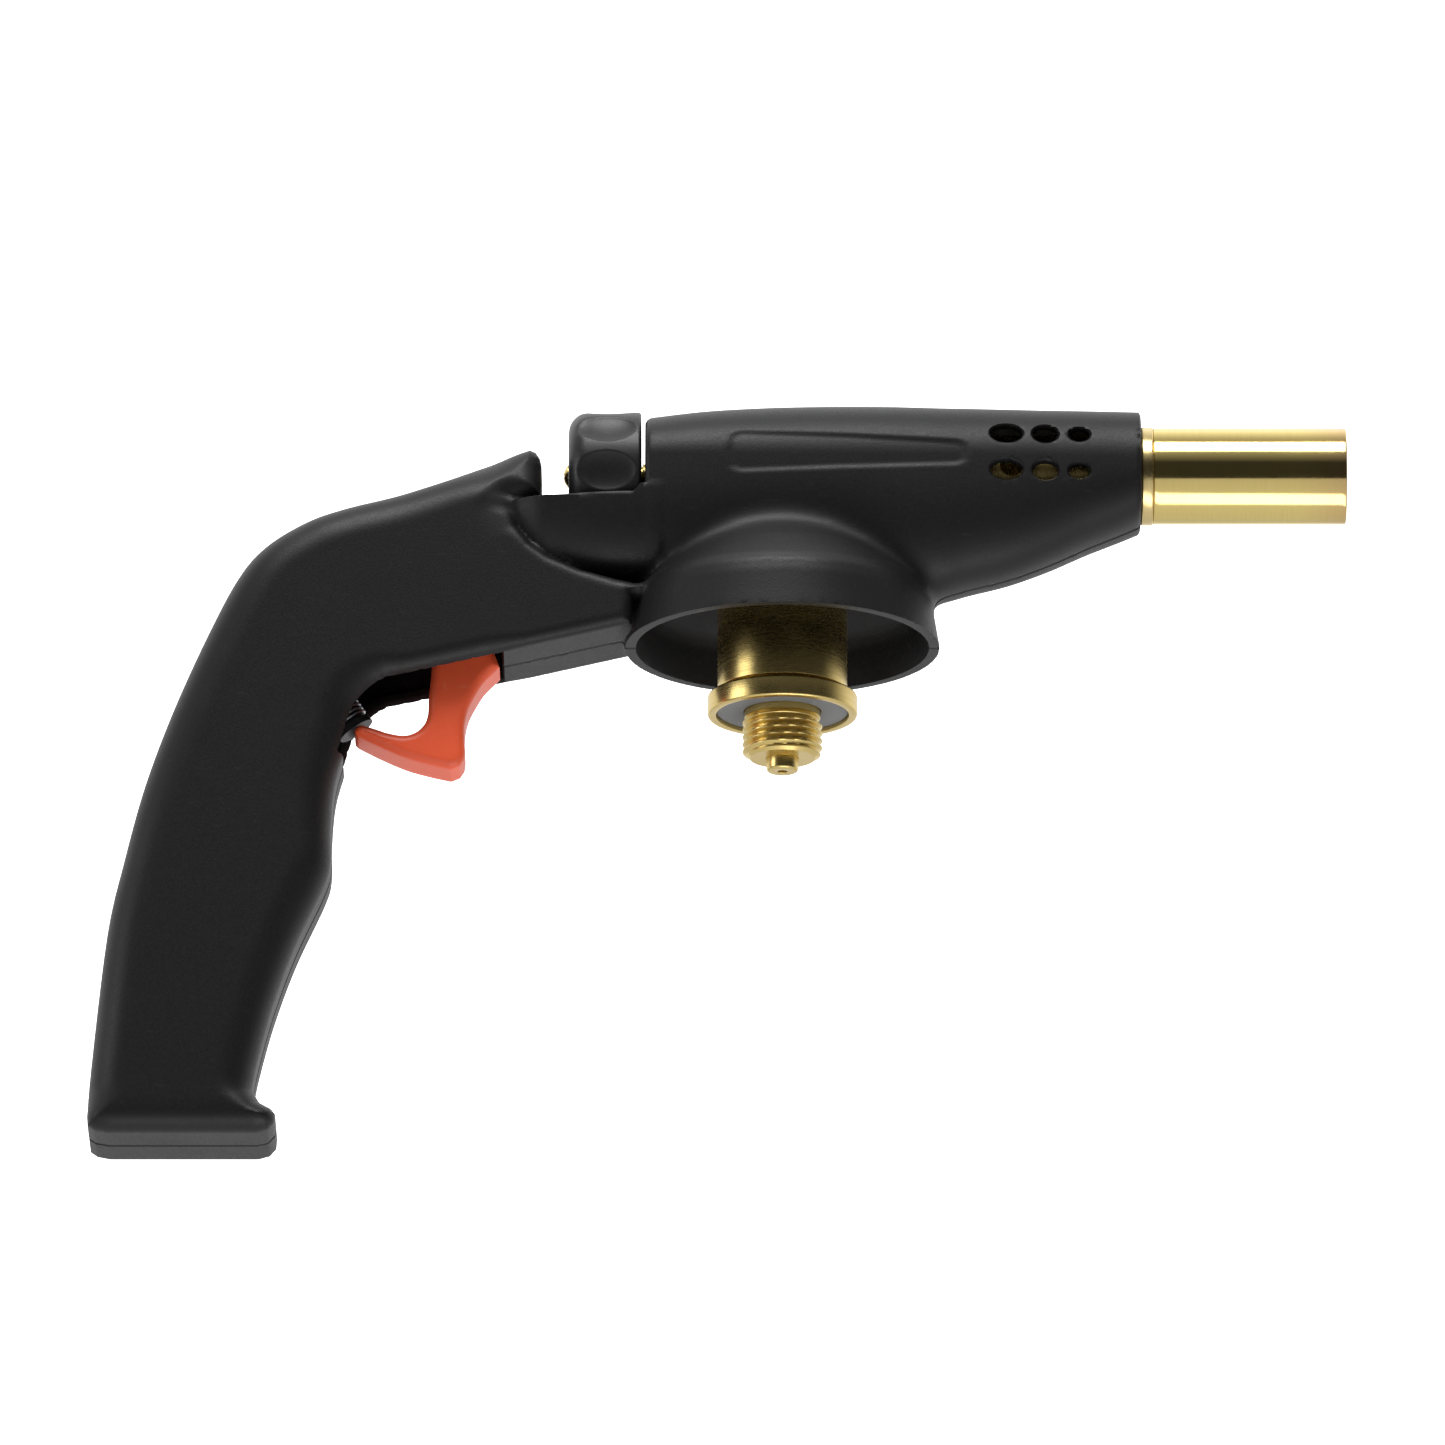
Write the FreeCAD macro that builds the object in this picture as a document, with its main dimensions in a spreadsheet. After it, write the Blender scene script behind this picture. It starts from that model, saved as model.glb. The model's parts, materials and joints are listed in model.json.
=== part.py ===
import FreeCAD, Part
import Sketcher
import math
import os

# Hand-held propane torch. Millimetres, +Z up, +X towards the flame, +Y to the far side of the casing.
# The origin is on the cylinder thread's axis, at the face that seals against the cylinder.

os.makedirs("parts", exist_ok=True)
doc = FreeCAD.newDocument("propane_torch")
sheet = doc.addObject("Spreadsheet::Sheet", "sizes")

driving = [
    ("axis_height", 50.4, "barrel axis above the cylinder's sealing face"),
    ("wall", 2.2, "casing wall"),
    ("grip_half", 14.0, "half the grip's thickness"),
    ("grip_round", 7.5, "rounding of the grip's long edges"),
    ("barrel_half", 15.6, "half the barrel's width at the rear"),
    ("nose_half", 12.9, "half the barrel's width at the nose"),
    ("barrel_rear", -27.5, "rear face of the barrel"),
    ("nose_end", 72.0, "front face of the nose"),
    ("pocket_rear", -48.3, "front face of the horn, behind the knob"),
    ("pocket_rim", -8.4, "upper edge of the trough under the knob"),
    ("recess_depth", 0.6, "depth of the blank panel on each flank"),
    ("skirt_radius", 31.6, "outer radius of the skirt's rim"),
    ("skirt_rim", -36.2, "level of the skirt's rim below the barrel axis"),
    ("slot_half", 10.0, "half the width of the trigger's slot"),
    ("burner_radius", 9.7, "outside of the burner tube"),
    ("burner_start", 74.5, "rear end of the burner tube"),
    ("burner_end", 113.3, "open end of the burner tube"),
    ("burner_wall", 0.8, "burner tube's wall"),
    ("mixer_radius", 8.2, "outside of the mixing tube"),
    ("mixer_wall", 1.0, "mixing tube's wall"),
    ("mixer_start", 36.0, "rear end of the mixing tube"),
    ("mixer_end", 80.0, "front end of the mixing tube"),
    ("knob_radius", 12.9, "outside of the knob"),
    ("knob_rear", -42.9, "rear face of the knob"),
    ("knob_front", -28.3, "front face of the knob"),
    ("knob_round", 4.2, "rounding of the knob's rear edge"),
    ("dimples", 8, "finger dimples round the knob"),
    ("dimple_depth", 1.1, "depth of a dimple"),
    ("spindle_radius", 2.5, "plain part of the spindle"),
    ("running", 0.05, "radial clearance of a running fit"),
    ("valve_radius", 9.0, "outside of the valve body"),
    ("boss_radius", 8.4, "threaded boss between valve body and sleeve"),
    ("sleeve_radius", 13.0, "outside of the inlet sleeve"),
    ("sleeve_bore", 10.5, "bore of the inlet sleeve"),
    ("sleeve_top", 32.5, "top of the sleeve above the sealing face"),
    ("cup_radius", 15.0, "outside of the seal cup"),
    ("cup_height", 4.2, "height of the seal cup's ring"),
    ("washer_radius", 13.3, "outside of the seal washer"),
    ("washer_thick", 2.0, "thickness of the seal washer"),
    ("washer_recess", 0.8, "washer's face above the cup's lip"),
    ("thread_radius", 8.0, "crest of the M16 x 1.5 cylinder thread"),
    ("thread_root", 7.08, "root of the cylinder thread"),
    ("thread_pitch", 1.5, "pitch of the cylinder thread"),
    ("thread_turns", 5, "crests that stand clear of the neck"),
    ("neck_radius", 7.6, "plain neck above the thread"),
    ("pin_radius", 3.2, "outside of the depressor pin"),
    ("pin_end", -11.6, "lower end of the depressor pin"),
    ("trigger_half", 6.0, "half the trigger's width"),
    ("pivot_across", -60.0, "trigger pivot, along the torch"),
    ("pivot_drop", -36.0, "trigger pivot, below the barrel axis"),
    ("pivot_radius", 1.5, "radius of the trigger pin"),
    ("press_lean", 33.4, "lean of the igniter from upright, degrees"),
    ("screw_radius", 1.45, "core of a casing screw"),
    ("screw_head", 2.8, "radius of a casing screw's head"),
    ("lead_radius", 1.1, "radius of the ignition lead"),
]


class Size:
    """A number together with the sheet expression that it comes from."""

    def __init__(self, value, text):
        self.value = value
        self.text = text

    def join(self, other, sign, value):
        text = other.text if isinstance(other, Size) else repr(float(other))
        return Size(value, f"({self.text} {sign} {text})")

    def __add__(self, other):
        return self.join(other, "+", self.value + number(other))

    def __sub__(self, other):
        return self.join(other, "-", self.value - number(other))

    def __mul__(self, other):
        return self.join(other, "*", self.value * number(other))


def number(size):
    return size.value if isinstance(size, Size) else float(size)


def bind(item, place, size):
    """Ties one of an object's sizes to the sheet."""
    if isinstance(size, Size):
        item.setExpression(place, size.text)


class Sizes:
    """The sheet's cells by name: cells.wall is the casing wall."""


cells = Sizes()
for row, (alias, value, meaning) in enumerate(driving, start=1):
    sheet.set(f"A{row}", meaning)
    sheet.set(f"B{row}", str(value))
    sheet.setAlias(f"B{row}", alias)
    setattr(cells, alias, Size(float(value), f"sizes.{alias}"))
doc.recompute()

nodes = []
up = FreeCAD.Vector(0, 0, 1)
across = FreeCAD.Vector(0, 1, 0)
along = FreeCAD.Vector(1, 0, 0)


def spot(x, drop, y=0.0):
    """A point given by its place along the torch and its height from the barrel axis."""
    return FreeCAD.Vector(x, y, drop + cells.axis_height.value)


def origin_plane(body, role):
    return next(item for item in body.Origin.OriginFeatures if item.Role == role)


def turned(label, profile, axis="X", kept=True):
    """A lathe piece: a closed outline of (along, radius) pairs turned about the barrel axis or the thread axis."""
    body = doc.addObject("PartDesign::Body", label)
    sketch = body.newObject("Sketcher::SketchObject", label + "_profile")
    sketch.AttachmentSupport = (origin_plane(body, "XZ_Plane"), [""])
    sketch.MapMode = "FlatFace"
    corners = [pair if axis == "X" else (pair[1], pair[0]) for pair in profile]
    points = [FreeCAD.Vector(number(a), number(b), 0) for a, b in corners]
    for index, point in enumerate(points):
        sketch.addGeometry(Part.LineSegment(point, points[(index + 1) % len(points)]))
    for index in range(len(points)):
        following = (index + 1) % len(points)
        sketch.addConstraint(Sketcher.Constraint("Coincident", index, 2, following, 1))
    for index, (a, b) in enumerate(corners):
        for kind, size in (("DistanceX", a), ("DistanceY", b)):
            place = sketch.addConstraint(Sketcher.Constraint(kind, -1, 1, index, 1, number(size)))
            bind(sketch, f"Constraints[{place}]", size)
    turn = body.newObject("PartDesign::Revolution", label + "_turn")
    turn.Profile = sketch
    turn.ReferenceAxis = (sketch, ["H_Axis" if axis == "X" else "V_Axis"])
    turn.Angle = 360
    sketch.Visibility = False
    body.Tip = turn
    if axis == "X":
        bind(body, "Placement.Base.z", cells.axis_height)
    if kept:
        nodes.append(body)
    return body


def tube(label, start, end, outer, inner, axis="X", kept=True):
    return turned(label, [(start, inner), (end, inner), (end, outer), (start, outer)], axis, kept)


def rod(label, start, end, radius, axis="X", kept=True):
    return turned(label, [(start, 0), (end, 0), (end, radius), (start, radius)], axis, kept)


def cylinder(label, radius, length, base, direction):
    item = doc.addObject("Part::Cylinder", label)
    item.Placement = FreeCAD.Placement(base, FreeCAD.Rotation(up, direction))
    item.Radius = number(radius)
    item.Height = number(length)
    bind(item, "Radius", radius)
    bind(item, "Height", length)
    return item


def joined(label, items, kept=False):
    item = doc.addObject("Part::MultiFuse", label)
    item.Refine = False
    item.Shapes = items
    if kept:
        nodes.append(item)
    return item


def cut(label, base, tool, kept=False):
    item = doc.addObject("Part::Cut", label)
    item.Refine = False
    item.Base = base
    item.Tool = tool
    if kept:
        nodes.append(item)
    return item


def one_by_one(kind, label, base, tools, kept=False):
    """The same boolean with each tool in turn, which keeps the long seams of the casing sound."""
    for index, tool in enumerate(tools, start=1):
        last = index == len(tools)
        item = doc.addObject(kind, label if last else f"{label}_{index}")
        item.Refine = False
        item.Base = base
        item.Tool = tool
        base = item
    if kept:
        nodes.append(base)
    return base


def common(label, items, kept=False):
    item = doc.addObject("Part::MultiCommon", label)
    item.Refine = False
    item.Shapes = items
    if kept:
        nodes.append(item)
    return item


def fixed_shape(label, shape, kept=False):
    """A shape made with Part's own functions, where no feature gives it."""
    item = doc.addObject("Part::Feature", label)
    item.Shape = shape
    if kept:
        nodes.append(item)
    return item


def prism(label, corners, half):
    """A flat outline of (along, height from the barrel axis) corners, thickened both ways from the centre plane."""
    wire = Part.makePolygon([spot(x, drop, -half) for x, drop in corners + corners[:1]])
    return fixed_shape(label, Part.Face(wire).extrude(across * 2 * half))


# ---------------------------------------------------------------- casing

# Side view of grip, neck and horn: (along, height from the barrel axis).
back_curve = [(-138.1, -137.0), (-136.5, -113.9), (-131.3, -82.9), (-121.9, -51.9), (-109.1, -24.0),
              (-95.5, -12.1), (-76.5, -6.0), (-52.0, 3.4)]
front_curve = [(-80.0, -46.0), (-85.8, -53.4), (-89.5, -67.5), (-90.3, -85.0), (-97.1, -100.7),
               (-103.3, -119.6), (-105.4, -130.0)]
horn_front = [(number(cells.pocket_rear), 3.4), (number(cells.pocket_rear), -14.0)]
neck_front = [(-14.0, -14.0), (-16.0, -18.5), (-30.0, -28.5), (-30.6, -34.3)]
butt = [(-101.0, -136.0), (-102.5, -141.2), (-136.0, -141.2)]


def moved_in(loop, inset):
    """The same closed outline with each point moved inwards by the inset."""
    moved = []
    for index, (x, drop) in enumerate(loop):
        before = loop[index - 1]
        after = loop[(index + 1) % len(loop)]
        normals = []
        for first, second in ((before, (x, drop)), ((x, drop), after)):
            run = math.dist(first, second)
            normals.append(((second[1] - first[1]) / run, -(second[0] - first[0]) / run))
        dot = normals[0][0] * normals[1][0] + normals[0][1] * normals[1][1]
        scale = inset / (1 + dot)
        moved.append((x + scale * (normals[0][0] + normals[1][0]),
                      drop + scale * (normals[0][1] + normals[1][1])))
    return moved


def spline(points):
    curve = Part.BSplineCurve()
    curve.interpolate([spot(x, drop) for x, drop in points])
    return curve.toShape()


def grip_slab(label, inset, half, rounding):
    """Grip, neck and horn as one slab with its two long sides rounded."""
    loop = moved_in(back_curve + horn_front + neck_front + front_curve + butt, inset)
    back_end = len(back_curve)
    front_start = back_end + len(horn_front) + len(neck_front)
    front_end = front_start + len(front_curve)
    straight_first = loop[back_end - 1 : front_start + 1]
    straight_last = loop[front_end - 1 :] + loop[:1]
    edges = [spline(loop[:back_end])]
    edges += Part.makePolygon([spot(x, drop) for x, drop in straight_first]).Edges
    edges.append(spline(loop[front_start:front_end]))
    edges += Part.makePolygon([spot(x, drop) for x, drop in straight_last]).Edges
    face = Part.Face(Part.Wire(Part.__sortEdges__(edges)))
    slab = face.extrude(across * 2 * half)
    slab.translate(across * -half)
    long_edges = []
    for edge in slab.Edges:
        box = edge.BoundBox
        flat = box.YLength < 0.01 and abs(abs(box.YMin) - half) < 0.01
        if flat and box.ZLength > 70:
            long_edges.append(edge)
    return fixed_shape(label, slab.makeFillet(rounding, long_edges).Solids[0])


def barrel_section(x, half, top, bottom, power=3.0):
    """Half an ellipse above the parting height and a flatter curve below it."""
    points = []
    steps = 12
    for step in range(steps):
        turn = math.pi * step / steps
        points.append(FreeCAD.Vector(x, half * math.cos(turn), top * math.sin(turn)))
    for step in range(steps):
        turn = math.pi * step / steps
        side = math.copysign(abs(math.cos(turn)) ** (2 / power), math.cos(turn))
        points.append(FreeCAD.Vector(x, -half * side, -bottom * math.sin(turn) ** (2 / power)))
    curve = Part.BSplineCurve()
    curve.interpolate([point + up * cells.axis_height.value for point in points], PeriodicFlag=True)
    return Part.Wire(curve.toShape())


def barrel(label, stations, inset):
    """The barrel through (along, half width, height of the top, depth of the bottom) stations."""
    sections = [barrel_section(x, half - inset, top - inset, bottom - inset) for x, half, top,
                bottom in stations]
    return fixed_shape(label, Part.makeLoft(sections, True, False))


rear = cells.barrel_rear.value
nose = cells.nose_end.value
wall = cells.wall.value
wide = cells.barrel_half.value
outer_stations = [(rear, wide - 0.5, 11.2, 14.0), (-10.0, wide, 13.0, 15.6), (10.0, wide + 0.1, 13.9, 18.0),
                  (31.5, wide - 0.5, 13.6, 25.6), (48.0, wide - 1.3, 13.3, 21.0),
                  (61.5, wide - 2.1, 13.1, 15.2),
                  (nose, cells.nose_half.value, 12.9, 10.6)]
inner_stations = [(rear + wall, wide - 0.5, 11.4, 13.6), (-10.0, wide, 13.0, 15.6),
                  (10.0, wide + 0.1, 13.9, 15.6),
                  (31.5, wide - 0.5, 13.6, 20.0), (46.0, wide - 1.3, 13.3, 20.4),
                  (60.0, wide - 2.0, 13.1, 14.8),
                  (nose - wall, cells.nose_half.value, 12.9, 10.6)]

grip_outside = grip_slab("grip_outside", 0.0, cells.grip_half.value, cells.grip_round.value)
grip_inside = grip_slab("grip_inside", wall, cells.grip_half.value - wall, cells.grip_round.value - wall)
barrel_outside = barrel("barrel_outside", outer_stations, 0.0)
barrel_panel = barrel("barrel_panel", outer_stations, cells.recess_depth.value)
barrel_inside = barrel("barrel_inside", inner_stations, wall)

# The trough under the knob runs back into the neck and fades there.
trough = rod("trough", cells.pocket_rear, cells.barrel_rear + 4, cells.barrel_half, kept=False)
trough_tail = turned("trough_tail", [(cells.pocket_rear - 7, 0), (cells.pocket_rear, 0),
                                     (cells.pocket_rear, cells.barrel_half),
                                     (cells.pocket_rear - 7, 12.6)], kept=False)
pocket_bore = rod("pocket_bore", cells.pocket_rear, cells.barrel_rear, cells.barrel_half - cells.wall,
                  kept=False)
pocket_box = prism("pocket_box", [(cells.pocket_rear.value, cells.pocket_rim.value), (rear, cells.pocket_rim.value),
                                  (rear, 20.0), (cells.pocket_rear.value, 20.0)], 20.0)
above_rim = prism("above_rim", [(-58.0, -9.0), (cells.pocket_rear.value, cells.pocket_rim.value), (-20.0, -7.0),
                                (-20.0, 20.0), (-58.0, 20.0)], 20.0)
trough_low = cut("trough_low", trough, above_rim)
trough_tail_low = cut("trough_tail_low", trough_tail, above_rim)


def skirt(label, inset, rim, floor):
    """The bell round the inlet: (height from the sealing face, radius) from the rim up to the barrel."""
    base = cells.axis_height
    radius = cells.skirt_radius
    profile = [(rim, 0), (rim, radius - inset), (base - (26.7 + inset * 0.5), radius - (1.6 + inset)),
               (base - (23.9 + inset), radius - (3.6 + inset)),
               (base - (20.8 + inset), radius - (7.9 + inset * 0.6)),
               (base - (17.5 + inset), radius - (12.5 + inset * 0.6)), (floor, radius - (16.6 + inset)),
               (floor, 0)]
    return turned(label, profile, axis="Z", kept=False)


skirt_outside = skirt("skirt_outside", 0.0, cells.axis_height + cells.skirt_rim, cells.axis_height - 15.4)
skirt_inside = skirt("skirt_inside", wall, cells.axis_height + cells.skirt_rim - 1, cells.axis_height - 17.8)

casing_outside = one_by_one("Part::Fuse", "casing_outside", grip_outside,
                            [barrel_outside, skirt_outside, trough_low, trough_tail_low])
main_hollow = one_by_one("Part::Fuse", "main_hollow", grip_inside, [barrel_inside])
pocket = one_by_one("Part::Fuse", "pocket", pocket_bore, [pocket_box])

# Screws through the two halves: (along, height from the barrel axis).
screw_spots = [(-119.0, -128.0), (-107.0, -78.0), (-88.0, -18.5), (-42.0, -27.0), (24.0, -10.5),
               (50.0, -13.2)]
screw_boss = 3.3
head_seat = 9.0
screw_reach = 8.0


def posts(label, spots, radius, start, end):
    """Cylinders across the torch at each spot, from one side distance to another."""
    items = []
    for index, (x, drop) in enumerate(spots, start=1):
        base = spot(x, drop, start)
        items.append(cylinder(f"{label}_{index}", radius, end - start, base, across))
    return items


boss_posts = posts("boss_post", screw_spots, screw_boss, -20.0, 20.0)
pin_spot = [(cells.pivot_across.value, cells.pivot_drop.value)]
pin_posts = posts("near_pin_post", pin_spot, 3.4, -20.0, -6.5) + posts("far_pin_post", pin_spot, 3.4, 6.5,
                                                                       20.0)
hollow_round_posts = cut("hollow_round_posts", main_hollow, joined("all_posts", boss_posts + pin_posts))
casing_shell = one_by_one("Part::Cut", "casing_shell", casing_outside,
                          [hollow_round_posts, skirt_inside, pocket])

slot_corners = [(-57.2, -33.5), (-56.1, -38.5), (-56.1, -62.0), (-80.0, -62.0), (-86.8, -60.3),
                (-92.3, -60.3), (-89.5, -50.0), (-82.0, -40.5),
                (-70.0, -37.0)]
trigger_slot = prism("trigger_slot", slot_corners, cells.slot_half.value)
spindle_hole = rod("spindle_hole", cells.barrel_rear - 1, cells.barrel_rear + 4, cells.spindle_radius + 2,
                   kept=False)
nose_hole = rod("nose_hole", cells.nose_end - 4, cells.nose_end + 1, cells.mixer_radius, kept=False)
boss_hole = rod("boss_hole", cells.axis_height - 20, cells.axis_height - 9, cells.boss_radius + 0.3, axis="Z",
                kept=False)
pin_hole = posts("pin_hole", pin_spot, cells.pivot_radius, -11.5, 11.5)
lead_window = prism("lead_window", [(-29.0, -20.0), (-13.0, -20.0), (-13.0, -3.0), (-29.0, -3.0)], 12.0)

vent_spots = [(44.9, 3.2, 2.0), (52.7, 2.55, 1.9), (59.5, 2.1, 1.5)]
vent_rows = (4.9, -3.0)


def oval(label, x, drop, half_long, half_tall):
    """An oval hole right through both halves."""
    middle = spot(x, drop, -20.0)
    ring = Part.Ellipse(middle, half_long, half_tall)
    ring.Axis = across
    ring.XAxis = along
    return fixed_shape(label, Part.Face(Part.Wire(ring.toShape())).extrude(across * 40))


vents = [oval(f"vent_{row}_{index}", x, drop, half_long, half_tall)
         for row, drop in enumerate(vent_rows) for index, (x, half_long, half_tall) in enumerate(vent_spots)]

# The blank panel on each flank: a tapering outline with round ends, sunk a little into the surface.
panel_outline = prism("panel_outline", [(-9.0, 4.9), (35.5, 3.0), (36.7, 2.2), (36.7, -1.4), (35.5, -2.1), (-9.0, -3.8),
                                        (-10.6, -2.4), (-10.6, 3.5)], 20.0)
panel_cut = cut("panel_cut", panel_outline, barrel_panel)

# A head is sunk into the far half, a threaded hole runs into the near half.
screw_seats = posts("screw_seat", screw_spots, cells.screw_head + 0.3, head_seat, 20.0)
screw_ways = posts("screw_way", screw_spots, cells.screw_radius, -screw_reach, head_seat)
large_openings = [trigger_slot, spindle_hole, nose_hole, boss_hole]
small_openings = [panel_cut] + pin_hole + vents


def casing_half(label, start, tools):
    """One moulded half: the shell on one side of the centre plane, with its openings cut in turn."""
    block = doc.addObject("Part::Box", label + "_side")
    block.Length = 260
    block.Width = 60
    block.Height = 200
    block.Placement.Base = FreeCAD.Vector(-160, start, -110)
    return one_by_one("Part::Cut", label, common(label + "_blank", [casing_shell, block]), tools, kept=True)


casing_half("casing_right", -60, large_openings + small_openings + screw_ways)
casing_half("casing_left", 0, large_openings + [lead_window] + small_openings + screw_seats + screw_ways)


def screw(index, x, drop):
    shank = cylinder(f"screw_shank_{index}", cells.screw_radius, screw_reach + head_seat,
                     spot(x, drop, -screw_reach), across)
    head = cylinder(f"screw_head_{index}", cells.screw_head, 2.0, spot(x, drop, head_seat), across)
    cross = [prism(f"screw_slot_{index}_{turn}", corners, 1.0) for turn, corners in enumerate(
        [[(x - 1.6, drop - 0.4), (x + 1.6, drop - 0.4), (x + 1.6, drop + 0.4), (x - 1.6, drop + 0.4)],
         [(x - 0.4, drop - 1.6), (x + 0.4, drop - 1.6), (x + 0.4, drop + 1.6), (x - 0.4, drop + 1.6)]])]
    for bar in cross:
        bar.Placement.Base.y = head_seat + 2.0
    drive = joined(f"screw_drive_{index}", cross)
    return cut(f"screw_{index}", joined(f"screw_blank_{index}", [shank, head]), drive)


screws = doc.addObject("Part::Compound", "casing_screws")
screws.Links = [screw(index, x, drop) for index, (x, drop) in enumerate(screw_spots, start=1)]
nodes.append(screws)

# ---------------------------------------------------------------- burner and mixing tube

inner_burner = cells.burner_radius - cells.burner_wall
turned("burner_tube", [(cells.burner_start, cells.mixer_radius), (cells.burner_start + 1.2, cells.mixer_radius),
                       (cells.burner_start + 1.2, inner_burner), (cells.burner_end, inner_burner),
                       (cells.burner_end, cells.burner_radius), (cells.burner_start, cells.burner_radius)])
turned("burner_collar", [(cells.nose_end, cells.mixer_radius), (cells.burner_start, cells.mixer_radius),
                         (cells.burner_start, cells.burner_radius),
                         (cells.burner_start - 0.4, cells.burner_radius + 0.2),
                         (cells.nose_end + 0.4, cells.burner_radius + 0.2),
                         (cells.nose_end, cells.burner_radius)])

insulator_drop = -4.9
insulator_radius = 1.4
mixer_inner = cells.mixer_radius - cells.mixer_wall
mixer_blank = turned("mixer_blank", [(cells.mixer_start, 3.0), (cells.mixer_start + 3, 3.0), (cells.mixer_start + 3, mixer_inner),
                                     (cells.mixer_end, mixer_inner), (cells.mixer_end, cells.mixer_radius),
                                     (cells.mixer_start, cells.mixer_radius)], kept=False)
ports = []
for index, angle in enumerate(range(0, 360, 90)):
    turn = math.radians(angle)
    direction = FreeCAD.Vector(0, math.cos(turn), math.sin(turn))
    ports.append(cylinder(f"air_port_{index}", 2.4, 12.0, spot(46.0, 0.0), direction))
insulator_way = cylinder("insulator_way", insulator_radius, 6.0,
                         spot(cells.mixer_start.value - 1, insulator_drop), along)
cut("mixing_tube", mixer_blank, joined("mixer_holes", ports + [insulator_way]), kept=True)

holder_disc = rod("holder_disc", cells.mixer_end + 2, cells.mixer_end + 5, inner_burner, kept=False)
flame_holes = [cylinder("flame_way", 2.2, 8.0, spot(cells.mixer_end.value, 0.0), along)]
hole_count = 10
for index in range(hole_count):
    turn = 2 * math.pi * index / hole_count
    if index * 2 == hole_count * 1.5:
        continue
    place = spot(cells.mixer_end.value, 6.4 * math.sin(turn + math.pi / 2),
                 6.4 * math.cos(turn + math.pi / 2))
    flame_holes.append(cylinder(f"flame_hole_{index}", 1.1, 8.0, place, along))
electrode_way = cylinder("electrode_way", insulator_radius, 8.0,
                         spot(cells.mixer_end.value, insulator_drop), along)
cut("flame_holder", holder_disc, joined("holder_holes", flame_holes + [electrode_way]), kept=True)

insulator_rod = cylinder("insulator_rod", insulator_radius, 52.0,
                         spot(cells.mixer_start.value, insulator_drop), along)
wire_radius = 0.5
wire_way = cylinder("wire_way", wire_radius, 52.0, spot(cells.mixer_start.value, insulator_drop), along)
cut("electrode_insulator", insulator_rod, wire_way, kept=True)

# The electrode runs straight through its insulator and bends down towards the burner's wall.
wire_start = spot(cells.mixer_start.value + 0.5, insulator_drop)
bend = 1.5
wire_end = cells.mixer_start.value + 52.0 + 3.0
straight = Part.makeCylinder(wire_radius, wire_end - wire_start.x, wire_start, along)
elbow_face = Part.Face(Part.Wire(Part.makeCircle(wire_radius, spot(wire_end, insulator_drop), along)))
elbow = elbow_face.revolve(spot(wire_end, insulator_drop - bend), across, 90)
tip = Part.makeCylinder(wire_radius, 0.6, spot(wire_end + bend, insulator_drop - bend), up * -1)
fixed_shape("electrode", straight.fuse([elbow, tip]).removeSplitter(), kept=True)

jet_rear = cells.mixer_start - 12
turned("jet_holder", [(jet_rear - 8, 1.0), (jet_rear + 9, 1.0), (jet_rear + 9, 1.6), (jet_rear + 15, 1.6), (jet_rear + 15, 3.0),
                      (jet_rear + 3, 3.0), (jet_rear + 3, 5.5), (jet_rear, 5.5), (jet_rear, 4.0),
                      (jet_rear - 8, 4.0)])
turned("gas_jet", [(jet_rear + 9.2, 0.6), (jet_rear + 15.4, 0.6), (jet_rear + 15.8, 0.2), (jet_rear + 16.6, 0.2),
                   (jet_rear + 16.6, 2.0), (jet_rear + 15, 2.6), (jet_rear + 15, 1.6), (jet_rear + 9.2, 1.6)])

# ---------------------------------------------------------------- valve, spindle and knob

chamber = cells.spindle_radius + 0.4
screw_thread = cells.spindle_radius + 1.5
valve_turned = turned("valve_turned", [(-22, cells.valve_radius - 1), (-21, cells.valve_radius), (14, cells.valve_radius),
                                       (16, 6.5), (24, 6.5), (24, 4.0), (16, 4.0), (16, 1.0), (2.0, 1.0),
                                       (0, 1.0),
                                       (-2, chamber), (-8, chamber), (-8, screw_thread + cells.running),
                                       (-15, screw_thread + cells.running), (-15, 6.0), (-22, 6.0)],
                                       kept=False)
boss = rod("valve_boss", cells.axis_height - 24, cells.axis_height - 6, cells.boss_radius, axis="Z",
           kept=False)
boss_core = rod("boss_core", 0, 16, 6.5, kept=False)
spindle_core = rod("spindle_core", -22, 2, 6.4, kept=False)
boss_outer = cut("boss_outer", boss, joined("valve_core", [boss_core, spindle_core]))
feed_passage = cylinder("feed_passage", 1.2, 24.0, spot(-5.0, -26.0), up)
cut("valve_body", joined("valve_blank", [valve_turned, boss_outer]), feed_passage, kept=True)

seal_groove = cells.spindle_radius - 0.6
spindle_profile = [(-39.8, 0), (-1.8, 0), (-1.8, 0.3), (-4.6, 1.6), (-7.5, 1.6),
                   (-7.5, cells.spindle_radius - 0.2),
                   (-8.6, cells.spindle_radius - 0.2), (-8.6, screw_thread), (-13.4, screw_thread),
                   (-13.4, cells.spindle_radius), (-16.5, cells.spindle_radius), (-16.5, seal_groove),
                   (-18.5, seal_groove),
                   (-18.5, cells.spindle_radius), (-28, cells.spindle_radius),
                   (-28, cells.spindle_radius - 0.5),
                   (-39.8, cells.spindle_radius - 0.5)]
spindle_blank = turned("spindle_blank", spindle_profile, kept=False)
screw_way = cylinder("knob_screw_way", 1.0, 10.0, spot(-40.0, 0.0), along)
cut("valve_spindle", spindle_blank, screw_way, kept=True)
turned("spindle_seal", [(-18.4, seal_groove), (-16.6, seal_groove), (-16.6, 3.2), (-17.0, 3.5), (-18.0, 3.5), (-18.4, 3.2)])
nut_bore = cells.spindle_radius + cells.running
turned("packing_nut", [(-26.5, nut_bore), (-20.2, nut_bore), (-20.2, 3.55), (-15.0, 3.55), (-15.0, 6.0), (-22.0, 6.0),
                       (-22.0, 6.8), (-24.8, 6.8), (-24.8, 4.2), (-26.5, 4.2)])

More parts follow.
